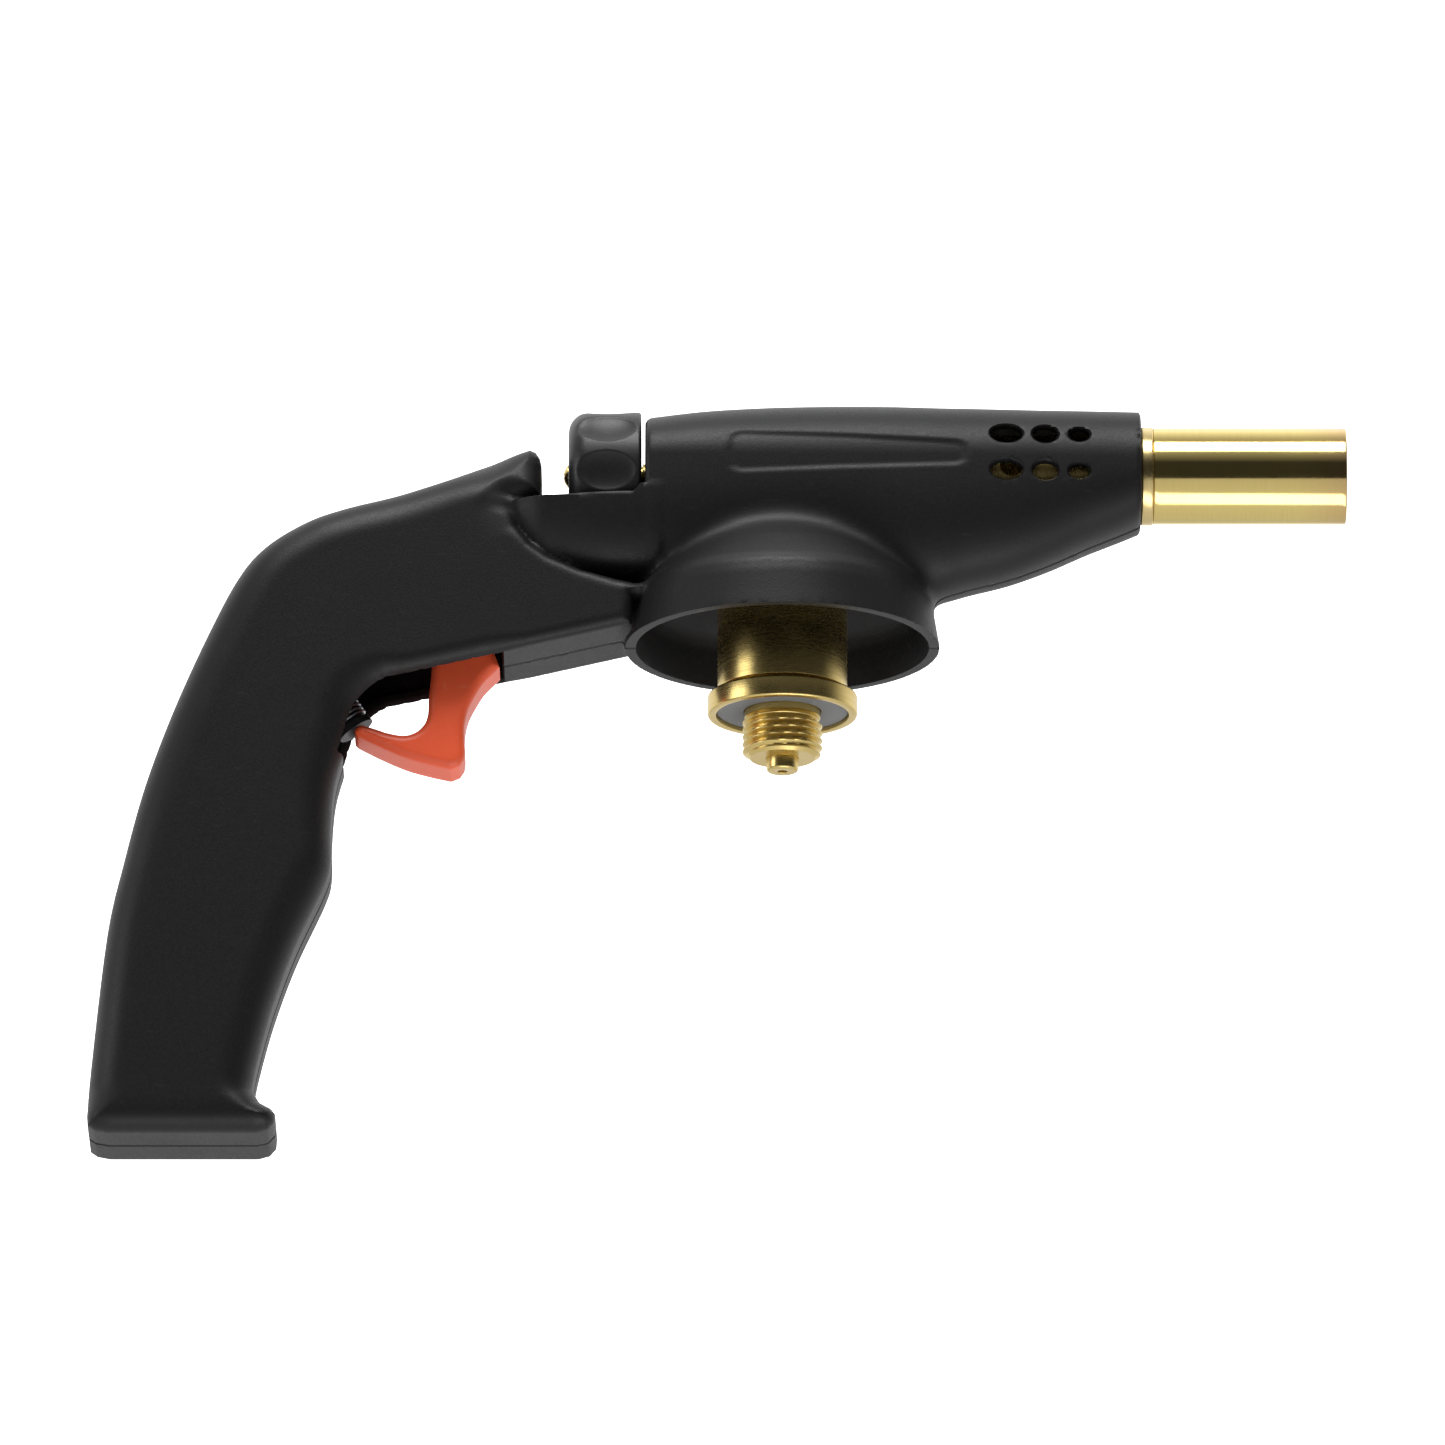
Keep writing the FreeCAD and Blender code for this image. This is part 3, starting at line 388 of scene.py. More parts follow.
# Moulded plastic: the bump of a fine noise and, over it, the bump of a slow one.
def buildMoulded(tree, given):
    grain = tree.node("ShaderNodeTexNoise",
                      {"Vector": given["Position"], "Scale": given["Grain"], "Detail": 3.0,
                       "Roughness": 0.55})
    slow = tree.node("ShaderNodeTexNoise", {"Vector": given["Position"], "Scale": 70.0, "Detail": 1.0})
    fine = tree.node("ShaderNodeBump", {"Strength": given["Strength"], "Distance": 0.00006,
            "Height": grain.outputs[0]})
    broad = tree.node("ShaderNodeBump", {"Strength": 0.25, "Distance": 0.00035, "Height": slow.outputs[0],
            "Normal": fine.outputs[0]})
    return {"Normal": broad.outputs[0], "Grain": grain.outputs[0]}


moulded = makeGroup("mouldedSurface", [("Position", vector, (0, 0, 0)), ("Grain", number, 2600.0),
        ("Strength", number, 0.5)],
                    [("Normal", vector), ("Grain", number)], buildMoulded)


# Lathe lines: a noise read at the place times the stretch, as a bump and a shade.
def buildLathe(tree, given):
    pulled = tree.node("ShaderNodeVectorMath", {0: given["Position"], 1: given["Stretch"]},
                       operation="MULTIPLY")
    rings = tree.node("ShaderNodeTexNoise",
                      {"Vector": pulled.outputs[0], "Scale": 1.0, "Detail": 4.0, "Roughness": 0.65})
    bump = tree.node("ShaderNodeBump", {"Strength": given["Strength"], "Distance": 0.00004,
            "Height": rings.outputs[0]})
    return {"Normal": bump.outputs[0], "Rings": rings.outputs[0]}


latheLines = makeGroup("latheLines", [("Position", vector, (0, 0, 0)),
        ("Stretch", vector, (9000.0, 90.0, 90.0)),
        ("Strength", number, 0.4)], [("Normal", vector), ("Rings", number)],
                       buildLathe)


# An empty material, its tree, and the place on the piece in metres.
def newMaterial(name):
    material = bpy.data.materials.new(name)
    material.use_nodes = True
    material.node_tree.nodes.clear()
    tree = Tree(material.node_tree)
    place = tree.node("ShaderNodeTexCoord").outputs["Object"]
    return material, tree, place


# Puts a group into a tree and returns its outputs.
def useGroup(tree, group, inputs):
    made = tree.node("ShaderNodeGroup")
    made.node_tree = group
    for key, value in inputs.items():
        if isinstance(value, bpy.types.NodeSocket):
            tree.tree.links.new(value, made.inputs[key])
        else:
            made.inputs[key].default_value = value
    return made.outputs


# Ends a material with one principled surface.
def finishMaterial(tree, inputs):
    surface = tree.node("ShaderNodeBsdfPrincipled", inputs)
    tree.node("ShaderNodeOutputMaterial", {"Surface": surface.outputs[0]})


# Moulded plastic or rubber: colour with a slow drift, worn paler at scuffs and specks, uneven gloss.
def plastic(name, look):
    material, tree, place = newMaterial(name)
    surface = useGroup(tree, moulded, {"Position": place, "Grain": look["grain"], "Strength": look["bump"]})
    marks = useGroup(tree, handling, {"Position": place, "Amount": look["marks"]})
    base = look["colour"]
    pale = look["worn"]
    drift = tree.mix(marks["Smudge"], (*base, 1), (*[channel * look["smudged"] for channel in base], 1))
    worn = tree.mix(tree.maths("MULTIPLY", marks["Scuff"], 0.35), drift, (*pale, 1))
    dusty = tree.mix(tree.maths("MULTIPLY", marks["Speck"], 0.5), worn, (*pale, 1))
    gloss = tree.ramp(surface["Grain"], 0.3, 0.7, look["rough"] - 0.05, look["rough"] + 0.06)
    gloss = tree.maths("ADD", gloss, tree.maths("MULTIPLY", marks["Smudge"], look["greasy"]))
    inputs = {"Base Color": dusty, "Roughness": gloss, "Normal": surface["Normal"], "IOR": 1.48,
              "Specular IOR Level": look.get("specular", 0.5)}
    if look.get("soft"):
        inputs.update({"Subsurface Weight": look["soft"], "Subsurface Radius": (0.0012, 0.0006, 0.0003)})
    finishMaterial(tree, inputs)
    return material


# Turned or drawn metal: lathe lines, fingerprints that dull it, and a thin tarnish.
def metal(name, look):
    material, tree, place = newMaterial(name)
    lines = useGroup(tree, latheLines, {"Position": place, "Stretch": look["stretch"],
            "Strength": look["bump"]})
    marks = useGroup(tree, handling, {"Position": place, "Amount": look["marks"]})
    base = tree.mix(tree.ramp(lines["Rings"], 0.35, 0.65), (*look["colour"], 1), (*look["tarnish"], 1))
    dull = tree.mix(tree.maths("MULTIPLY", marks["Smudge"], 0.35), base, (*look["tarnish"], 1))
    if look.get("heat"):
        start, end, tint = look["heat"]
        across = tree.node("ShaderNodeSeparateXYZ", {0: place}).outputs[0]
        wander = tree.node("ShaderNodeTexNoise", {"Vector": place, "Scale": 90.0}).outputs[0]
        edge = tree.maths("ADD", across, tree.maths("MULTIPLY", wander, 0.004))
        dull = tree.mix(tree.ramp(edge, start, end, 0.0, 0.55), dull, (*tint, 1))
    gloss = tree.ramp(lines["Rings"], 0.3, 0.7, look["rough"] * 0.8, look["rough"] * 1.25)
    gloss = tree.maths("ADD", gloss, tree.maths("MULTIPLY", marks["Smudge"], look["rough"] * 0.5))
    gloss = tree.maths("ADD", gloss, tree.maths("MULTIPLY", marks["Scuff"], 0.05))
    finishMaterial(tree, {"Base Color": dull, "Metallic": 1.0, "Roughness": gloss, "Normal": lines["Normal"]})
    return material


# How far a metal's lines are squeezed along each axis.
alongX = (9000.0, 90.0, 90.0)
alongZ = (25.0, 25.0, 7000.0)
brass = (0.80, 0.62, 0.24)
brassDull = (0.72, 0.545, 0.2)
plasticLooks = {
    "casing_black": dict(colour=(0.0085, 0.0085, 0.0095), worn=(0.035, 0.035, 0.035), smudged=1.3, rough=0.47,
                         greasy=-0.04, grain=2400.0, bump=0.5, marks=0.6, specular=0.34),
    "knob_black": dict(colour=(0.011, 0.011, 0.0115), worn=(0.05, 0.05, 0.05), smudged=1.3, rough=0.36,
                       greasy=0.06, grain=3200.0, bump=0.3, marks=0.9),
    "trigger_orange": dict(colour=(0.95, 0.125, 0.045), worn=(0.97, 0.35, 0.22), smudged=0.93, rough=0.38,
        greasy=0.06, grain=2600.0, bump=0.3, marks=0.6, soft=0.12),
    "washer_grey": dict(colour=(0.20, 0.205, 0.21), worn=(0.34, 0.34, 0.33), smudged=0.85, rough=0.62,
                        greasy=0.05, grain=1800.0, bump=0.6, marks=0.8),
    "seal_black": dict(colour=(0.015, 0.015, 0.015), worn=(0.06, 0.06, 0.06), smudged=1.2, rough=0.45,
                       greasy=0.05, grain=2000.0, bump=0.4, marks=0.6),
    "igniter_grey": dict(colour=(0.22, 0.23, 0.24), worn=(0.4, 0.4, 0.4), smudged=0.9, rough=0.42,
                         greasy=0.05, grain=2200.0, bump=0.3, marks=0.6),
    "plunger_white": dict(colour=(0.02, 0.02, 0.02), worn=(0.07, 0.07, 0.07), smudged=1.2, rough=0.4,
                          greasy=0.05, grain=2200.0, bump=0.3, marks=0.6),
    "lead_black": dict(colour=(0.02, 0.02, 0.02), worn=(0.08, 0.08, 0.08), smudged=1.2, rough=0.4,
                       greasy=0.05, grain=1500.0, bump=0.4, marks=0.6),
    "ceramic_white": dict(colour=(0.78, 0.76, 0.70), worn=(0.6, 0.56, 0.5), smudged=0.9, rough=0.22,
                          greasy=0.1, grain=900.0, bump=0.2, marks=0.8),
}
metalLooks = {
    "brass_polished": dict(colour=(0.83, 0.66, 0.25), tarnish=(0.77, 0.6, 0.22), rough=0.1, bump=0.16,
        marks=0.8, stretch=alongX, heat=(0.106, 0.116, (0.62, 0.38, 0.20))),
    "brass_turned": dict(colour=brass, tarnish=brassDull, rough=0.24, bump=0.12, marks=0.8, stretch=alongZ),
    "collar_pale": dict(colour=(0.80, 0.64, 0.30), tarnish=(0.70, 0.54, 0.24), rough=0.2, bump=0.4, marks=0.8,
                        stretch=alongX),
    "steel": dict(colour=(0.56, 0.57, 0.58), tarnish=(0.42, 0.42, 0.42), rough=0.32, bump=0.3, marks=0.8,
                  stretch=alongX),
    "spring_steel": dict(colour=(0.45, 0.46, 0.48), tarnish=(0.3, 0.3, 0.32), rough=0.3, bump=0.3, marks=0.6,
                         stretch=(800.0, 800.0, 800.0)),
    "filter_bronze": dict(colour=(0.50, 0.34, 0.18), tarnish=(0.32, 0.21, 0.11), rough=0.55, bump=1.0,
                          marks=0.8, stretch=(3500.0, 3500.0, 3500.0)),
}
materials = {name: plastic(name, look) for name, look in plasticLooks.items()}
materials.update({name: metal(name, look) for name, look in metalLooks.items()})
# The same turned brass with its lines round the barrel's axis.
brassAlong = metal("brassAlong", dict(metalLooks["brass_turned"], stretch=alongX))
barrelBrass = {"mixing_tube", "flame_holder", "gas_jet", "jet_holder", "valve_body", "packing_nut",
               "valve_spindle", "knob_screw"}
materialOf = {node: brassAlong if node in barrelBrass else materials[slot] for node, slot in slotOf.items()}
for node, item in frame["nodes"].items():
    item.data.materials.clear()
    item.data.materials.append(materialOf[node])
print("materials made", len(materials) + 1)

# Where the barrel ends, at the knob and at the burner's collar.
rearFace, noseFace = -27.5, low("burner_collar", 0)

# Places are (along, height from the barrel axis). The outline runs from the butt up the back to the horn,
# down behind the knob, under the barrel to the skirt, and back along the neck to the grip's front.
casing = dict(
    back=[(-138.05, -136.4), (-137.5, -126.5), (-134.5, -98.2), (-131.3, -82.9), (-127.3, -67.3),
          (-121.9, -51.9), (-115.3, -36.4), (-109.1, -24.0), (-103.6, -17.3), (-95.5, -12.1), (-87.5, -9.1),
          (-76.5, -6.0), (-67.3, -2.8), (-59.9, 0.4), (-54.5, 2.5), (-51.0, 3.6)],
    horn=[(-50.7, 3.75), (-49.4, 3.1), (-48.6, 1.8), (-48.3, 0.2), (-48.3, -7.0), (-53.5, -8.6),
          (-54.3, -10.6), (-53.4, -14.0), (-50.6, -17.6), (-47.0, -20.3), (-40.5, -23.2), (-34.0, -25.0),
          (-30.0, -25.9), (-24.0, -26.4), (-30.0, -28.5), (-30.6, -34.3)],
    front=[(-79.0, -45.4), (-82.0, -47.6), (-85.2, -52.0), (-87.3, -59.3), (-89.4, -67.5), (-90.1, -76.3),
           (-90.1, -83.0), (-91.5, -88.2), (-97.1, -100.7), (-101.5, -113.3), (-104.4, -124.5),
           (-105.3, -129.4)],
    butt=[(-105.2, -130.6), (-103.8, -133.2), (-101.6, -134.6), (-100.7, -135.9), (-100.9, -137.6),
          (-102.2, -139.1), (-104.5, -139.7), (-134.0, -139.7), (-136.6, -139.2), (-137.9, -138.3)],
    wall=2.2, gripHalf=14.0, neckHalf=13.0, hornHalf=10.0, gripRound=7.8, neckRound=3.4,
    seam=0.42, fillet=2.0, skirtFillet=4.5, panelDepth=0.34, voxel=0.8, fineVoxel=0.45, troughHalf=15.45,
    troughDeep=24.0, troughNarrows=3.25, troughShallows=6.0, pocket=13.4, pocketBack=-48.3, slotHalf=10.0,
    post=3.3, pinPost=3.4, pinPostFrom=6.5, spindleHole=4.5, noseHole=8.25, bossHole=8.7, screwHead=3.1,
    screwShank=1.6, screwPilot=1.45, pinHole=1.5, pinDepth=11.5)

# The barrel through (along, half width, height above the parting line, depth below it).
barrelStations = np.array([(-27.5, 15.4, 11.2, 24.0), (-16.0, 15.7, 12.7, 23.0), (-4.0, 15.8, 13.5, 22.0),
        (10.0, 15.8, 13.84, 22.0), (22.0, 15.4, 13.84, 25.0), (31.5, 15.1, 13.6, 25.6),
        (37.5, 14.8, 13.5, 24.0), (45.5, 14.4, 13.35, 21.9), (53.5, 13.9, 13.2, 18.9),
        (61.5, 13.5, 13.1, 15.2), (67.5, 13.1, 13.0, 12.7), (72.0, 12.9, 12.9, 10.7)])
# The skirt's outside from the rim to the barrel: (radius, height).
skirtLine = [(31.55, -36.2), (31.0, -33.0), (30.3, -28.6), (29.7, -26.4), (28.5, -24.6), (25.6, -22.0),
             (21.6, -18.6), (17.4, -15.6), (13.4, -13.4)]
ventSpots = [(44.9, 3.2, 2.0), (52.7, 2.55, 1.9), (59.5, 2.1, 1.5)]
ventRows = (4.9, -3.0)
screwSpots = [(-119.0, -128.0), (-107.0, -78.0), (-88.0, -18.5), (-42.0, -27.0), (24.0, -10.5), (50.0, -13.2)]
pivot = (mid("trigger_pin", 0), mid("trigger_pin", 2) - axisZ)
panelLine = [(-8.6, 4.9), (14.0, 4.1), (35.2, 3.0), (36.6, 2.2), (37.0, 0.6), (36.6, -1.3), (35.2, -2.1),
             (14.0, -2.9), (-8.6, -3.8), (-10.3, -2.9), (-11.0, 0.6), (-10.3, 3.9)]
slotLine = [(-57.2, -33.5), (-56.1, -38.5), (-56.1, -62.0), (-80.0, -62.0), (-86.8, -60.6), (-92.3, -60.6),
            (-89.5, -50.0), (-82.0, -40.5), (-70.0, -37.0)]

bodyLine = np.vstack([throughPoints(casing["back"], 6), casing["horn"], throughPoints(casing["front"], 6),
                      casing["butt"]])
skirtSolid = np.vstack([skirtLine, [(0, -12.6), (0, -36.2)]])
skirtHollow = np.array([(29.4, -36.2), (28.8, -33.0), (28.1, -28.8), (27.4, -27.0), (26.6, -25.9),
                        (24.4, -24.2), (20.6, -21.4), (16.8, -18.9), (13.2, -17.8), (0, -17.8), (0, -60.0),
                        (32.0, -60.0)])


# A value that runs smoothly through the stations: a cubic between each two, with the stations' own slopes.
def track(along, places, values):
    slope = np.gradient(values, places)
    index = np.clip(np.searchsorted(places, along) - 1, 0, len(places) - 2)
    width = places[index + 1] - places[index]
    t = np.clip((along - places[index]) / width, 0, 1)
    return ((2 * t ** 3 - 3 * t ** 2 + 1) * values[index] + (t ** 3 - 2 * t ** 2 + t) * width * slope[index]
            + (-2 * t ** 3 + 3 * t ** 2) * values[index + 1] + (t ** 3 - t ** 2) * width * slope[index + 1])


# Distance to the barrel: half ellipse above the parting line and a squarer one of power 2.9 below, less one
# and divided by its own slope.
def barrelDistance(x, y, h, inset=0.0):
    places, half, top, deep = barrelStations.T
    half = track(x, places, half) - inset
    above = h >= 0
    tall = np.where(above, track(x, places, top) - inset, track(x, places, deep) - inset)
    power = np.where(above, 2.0, 2.9)
    side, rise = np.abs(y) / half, np.abs(h) / tall
    ratio = (side ** power + rise ** power) ** (1 / power) + 1e-9
    slope = ratio ** (1 - power) * np.hypot(side ** (power - 1) / half, rise ** (power - 1) / tall)
    return (ratio - 1) / np.maximum(slope, 1 / 40)


# A distance ended at start and end along the barrel: the rounded overlap with both end faces.
def capped(distance, x, start, end, rounding):
    return roundOverlap(roundOverlap(distance, start - x, rounding), x - end, rounding * 0.6)


# Distance to the nearest of several round posts: how far the spot's centre is, less the radius.
def postDistance(x, h, spots, radius):
    nearest = 1e9
    for spotX, spotH in spots:
        nearest = np.minimum(nearest, np.hypot(x - spotX, h - spotH) - radius)
    return nearest


# Distance to an outline turned about the thread axis, read at (radius, height). Points well away from the
# skirt keep the distance called far.
def skirtDistance(x, y, h, line, far):
    x, y, h = np.broadcast_arrays(x, y, h)
    radius = np.hypot(x, y)
    near = (radius < 37) & (h > -42) & (h < -6)
    out = np.full(x.shape, far)
    out[near] = outlineDistance(radius[near], h[near], line)
    return out


# One half of the casing, with y counted away from the centre plane: grip, barrel, trough and skirt joined
# with fillets, less the hollow and the openings.
def casingField(screwSide):
    look = casing
    wall = look["wall"]

    def field(x, y, z):
        h = z - axisZ
        flat = outlineDistance(x, h, bodyLine)
        neckShare = smoothStep(-92, -74, x)
        thick = look["gripHalf"] + (look["neckHalf"] - look["gripHalf"]) * neckShare
        thick = thick + (look["hornHalf"] - look["neckHalf"]) * smoothStep(-9, 4, h) * smoothStep(-74, -56, x)
        squarer = look["neckRound"] - look["gripRound"]
        rounding = look["gripRound"] + squarer * neckShare * smoothStep(-18, -30, h)
        rounding = rounding * (1 - 0.42 * smoothStep(-130, -138, h)) * (1 - 0.35 * smoothStep(-60, -50, x))
        ridge = smoothStep(-62, -52, x) * smoothStep(-30, -24, h) * smoothStep(-7, -12, h)
        rounding = rounding + (2.0 - rounding) * ridge
        grip = roundOverlap(flat, y - thick, rounding)
        barrelRaw = barrelDistance(x, y, h)
        barrel = capped(barrelRaw, x, rearFace, noseFace, 1.4)
        radial = np.hypot(y, h)
        side = np.abs(y) / (look["troughHalf"] - look["troughNarrows"] * smoothStep(-47, -56, x))
        deep = np.abs(h) / (look["troughDeep"] - look["troughShallows"] * smoothStep(-47, -56, x))
        squareness = 2.9 - 0.6 * smoothStep(-34, -48, x)
        bowl = (side ** squareness + deep ** squareness) ** (1 / squareness)
        trough = (bowl - 1) * 14.5
        trough = np.maximum(trough, np.maximum(x - rearFace - 3, -57.0 - x))
        rim = -8.4 + 0.6 * smoothStep(-48, -30, x) + 1.8 * smoothStep(-30.2, -28.0, x)
        trough = roundOverlap(trough, h - rim, 0.5)
        tube = blendUnion(barrel, trough, 0.8)
        solid = blendUnion(grip, tube, look["fillet"])
        skirtOut = skirtDistance(x, y, h, skirtSolid, 12.0)
        fillet = look["skirtFillet"] + (look["fillet"] - look["skirtFillet"]) * smoothStep(-20, -27, x)
        body = blendUnion(solid, skirtOut, fillet)
        panel = outlineDistance(x, h, panelLine)
        sunk = look["panelDepth"] * smoothStep(0.5, -0.8, panel) * smoothStep(8, 10, y)
        body = body + sunk
        # Hollow: grip and barrel inside the wall, kept off the skirt, the posts and the pocket.
        inGrip = roundOverlap(flat + wall, y - thick + wall, np.maximum(rounding - wall, 1.0))
        inBarrel = np.maximum(barrelDistance(x, y, h, wall),
                              np.maximum(rearFace + wall - x, x - noseFace + wall))
        inBarrel = np.maximum(inBarrel, -(h + 13.4) - 8.0 * smoothStep(27, 35, x))
        inside = np.minimum(inGrip, inBarrel)
        inside = np.maximum(inside, -skirtOut)
        posts = postDistance(x, h, screwSpots, look["post"])
        pinPost = np.maximum(postDistance(x, h, [pivot], look["pinPost"]), look["pinPostFrom"] - y)
        inside = np.maximum(inside, -np.minimum(posts, pinPost))
        inside = np.minimum(inside, skirtDistance(x, y, h, skirtHollow, 12.0))
        pocket = np.minimum(radial - look["pocket"], rim - h)
        pocket = np.maximum(pocket, np.maximum(look["pocketBack"] - x, x - rearFace))
        slot = np.maximum(outlineDistance(x, h, slotLine), y - look["slotHalf"])
        slot = slot - 0.35 * smoothStep(-0.9, 0.1, body)
        spindleHole = np.maximum(radial - look["spindleHole"], np.abs(x - rearFace) - 5)
        noseHole = np.maximum(radial - look["noseHole"], noseFace - 5 - x)
        bossHole = np.maximum(np.hypot(x, y) - look["bossHole"], np.maximum(h + 9, -20 - h))
        cutAway = np.minimum(np.minimum(pocket, slot),
                             np.minimum(np.minimum(spindleHole, noseHole), bossHole))
        flare = 0.45 * smoothStep(-0.8, 0.1, body)
        for row in ventRows:
            for ventX, halfLong, halfTall in ventSpots:
                across, rise = (x - ventX) / (halfLong + flare), (h - row) / (halfTall + flare)
                oval = (np.sqrt(across ** 2 + rise ** 2) - 1) * halfTall
                cutAway = np.minimum(cutAway, np.maximum(oval, 5 - y))
        # The half with the screw heads also has a shallow window inside for the lead, short of the outside.
        if screwSide:
            cutAway = np.minimum(cutAway, np.maximum(postDistance(x, h, screwSpots, look["screwHead"]),
                    9.0 - y))
            cutAway = np.minimum(cutAway, postDistance(x, h, screwSpots, look["screwShank"]))
            window = np.maximum(np.maximum(-29 - x, x + 13), np.maximum(-20 - h, h + 3))
            cutAway = np.minimum(cutAway, np.maximum(np.maximum(window, y - 12.0), body + 1.0))
        else:
            cutAway = np.minimum(cutAway, np.maximum(postDistance(x, h, screwSpots, look["screwPilot"]),
                    y - 8.0))
        cutAway = np.minimum(cutAway, np.maximum(postDistance(x, h, [pivot], look["pinHole"]),
                y - look["pinDepth"]))
        shell = np.maximum(body, -np.minimum(inside, cutAway))
        seam = (body - y) * 0.7071 + look["seam"]
        return np.maximum(np.maximum(shell, -y), seam)

    return field


# Even values from start to end, as near to the step as a whole number of them allows.
def steppedLine(start, end, step):
    return np.linspace(start, end, int(round((end - start) / step)) + 1)


# Contours one half, with smaller cells at the pocket's ends and the vents. The near one is mirrored.
def makeCasing(name, node, side):
    field = casingField(side > 0)
    step = casing["voxel"]
    fine = casing["fineVoxel"]
    xs = np.concatenate([steppedLine(-140.03, -52.1, step)[:-1], steppedLine(-52.1, -46.3, fine)[:-1],
                         steppedLine(-46.3, -30.1, step)[:-1], steppedLine(-30.1, -26.3, fine)[:-1],
                         steppedLine(-26.3, 40.2, step)[:-1], steppedLine(40.2, 62.4, fine)[:-1],
                         steppedLine(62.4, 73.51, step)])
    zs = axisZ + np.concatenate([steppedLine(-142.37, -5.2, step)[:-1], steppedLine(-5.2, 7.4, fine)[:-1],
            steppedLine(7.4, 15.9, step)])
    ys = np.concatenate([[-0.21, 0.07, 0.27, 0.53, 0.91], steppedLine(1.47, 32.83, step)])
    points, faces = contour(field, xs, ys, zs)
    if side < 0:
        points[:, 1] *= -1
        faces = faces[:, ::-1]
    piece = makePiece(name, points, faces, node, materialOf[node], sharp=38)
    print(name, len(piece.data.polygons), "faces")


makeCasing("casingNear", "casing_right", -1)
makeCasing("casingFar", "casing_left", 1)

# The knob, with oval finger dimples pressed into its side and a rear edge rounded over.
knob = dict(dimples=8, phase=math.radians(11.6), centre=-35.2, halfLong=5.9, halfAround=math.radians(18.0),
            depth=1.3, rearRound=4.2, hub=5.0, wall=3.4)
knobRear, knobFront, knobRadius = low("valve_knob", 0), high("valve_knob", 0), high("valve_knob", 2) - axisZ


# Inside each oval the radius drops by the depth times one less the squared distance, to the power 0.8.
def knobWave(along, radius, around):
    pitch = 2 * math.pi / knob["dimples"]
    turn = (around - knob["phase"] + pitch / 2) % pitch - pitch / 2
    squared = ((along - knob["centre"]) / knob["halfLong"]) ** 2 + (turn / knob["halfAround"]) ** 2
    outer = smoothStep(knobRadius - 2.6, knobRadius - 1.2, radius)
    return radius - knob["depth"] * outer * np.clip(1 - squared, 0, 1) ** 0.8


# The knob's section, turned round the barrel axis: hub, open front, outer side and domed rear edge.
def makeKnob():
    inner = knobRadius - knob["wall"]
    side = [(x, knobRadius) for x in np.arange(knobFront - 0.9, knobRear + knob["rearRound"] + 0.2, -0.3)]
    corners = [(knobRear + 1.6, 1.0), (knobRear + 3, 1.0), (knobRear + 3, 2.0), (knobFront - 0.2, 2.0),
               (knobFront - 0.2, knob["hub"], 0.4), (knobRear + 4, knob["hub"], 0.8),
               (knobRear + 4, inner, 0.8), (knobFront, inner, 0.4), (knobFront, knobRadius, 0.7)]
    corners += side + [(knobRear, knobRadius, knob["rearRound"]), (knobRear, 2.7, 0.3), (knobRear + 1.6, 2.7)]
    lathe("knobGrip", roundedOutline(corners, steps=10), "valve_knob", materialOf["valve_knob"], turns=360,
          wave=knobWave, sharp=50)


makeKnob()

# The knob's screw: a domed brass head with a cross recess, and its shank.
knobScrew = dict(head=2.2, dome=3.25, shank=1.0, bar=0.32, reach=1.4, deep=0.75)


# Distance to the screw: a head cut by a ball and a shank, both rounds cut to length, less the cross.
def knobScrewField(x, y, z):
    radial = np.hypot(y, z - axisZ)
    back = low("knob_screw", 0)
    dome = np.hypot(np.maximum(back + 3.2 - x, 0), radial) - knobScrew["dome"]
    head = np.maximum(np.maximum(radial - knobScrew["head"], x - knobRear - 1.55), np.maximum(dome, back - x))
    shank = np.maximum(radial - knobScrew["shank"] + 0.03,
                       np.maximum(x - high("knob_screw", 0) + 0.05, back + 0.5 - x))
    across, rise = np.abs(y), np.abs(z - axisZ)
    bars = np.minimum(np.maximum(across - knobScrew["bar"], rise - knobScrew["reach"]),
                      np.maximum(rise - knobScrew["bar"], across - knobScrew["reach"]))
    recess = np.maximum(bars, x - back - knobScrew["deep"])
    return np.maximum(np.minimum(head, shank), -recess)


points, faces = contour(knobScrewField, steppedLine(low("knob_screw", 0) - 0.3, high("knob_screw", 0) + 0.3,
        0.2),
                        steppedLine(-2.53, 2.53, 0.15), steppedLine(axisZ - 2.53, axisZ + 2.53, 0.15))
makePiece("knobScrewHead", points, faces, "knob_screw", materialOf["knob_screw"])

# The trigger, seen from the side: arm, finger hook, foot, lower edge, heel and upper edge.
trigger = dict(
    arm=[(-70.8, -48.6), (-70.1, -41.0), (-65.5, -33.8), (-60.0, -32.7), (-57.7, -34.4), (-57.7, -38.5),
         (-56.6, -41.5)],
    hook=[(-56.6, -41.5), (-59.7, -44.7), (-61.7, -48.0), (-62.9, -50.6), (-63.5, -53.5), (-63.6, -56.0),
          (-63.4, -59.2)],
    foot=[(-63.6, -60.7), (-64.5, -62.1), (-66.2, -62.8)],
    lower=[(-66.5, -62.8), (-70.5, -61.9), (-75.3, -60.5), (-80.5, -58.2), (-84.9, -55.9)],
    heel=[(-85.5, -55.3), (-85.6, -54.5), (-85.0, -53.8), (-84.2, -53.6)],
    upper=[(-84.1, -53.6), (-81.5, -54.4), (-78.9, -55.3), (-75.7, -55.8), (-73.3, -55.1), (-71.6, -53.4),
           (-70.9, -51.3), (-70.8, -48.8)],
    half=5.98, rounding=1.9, hole=1.55, voxel=0.42)
triggerLine = np.vstack([trigger["arm"], throughPoints(trigger["hook"], 5), trigger["foot"],
                         throughPoints(trigger["lower"], 4), trigger["heel"],
                         throughPoints(trigger["upper"], 4)])


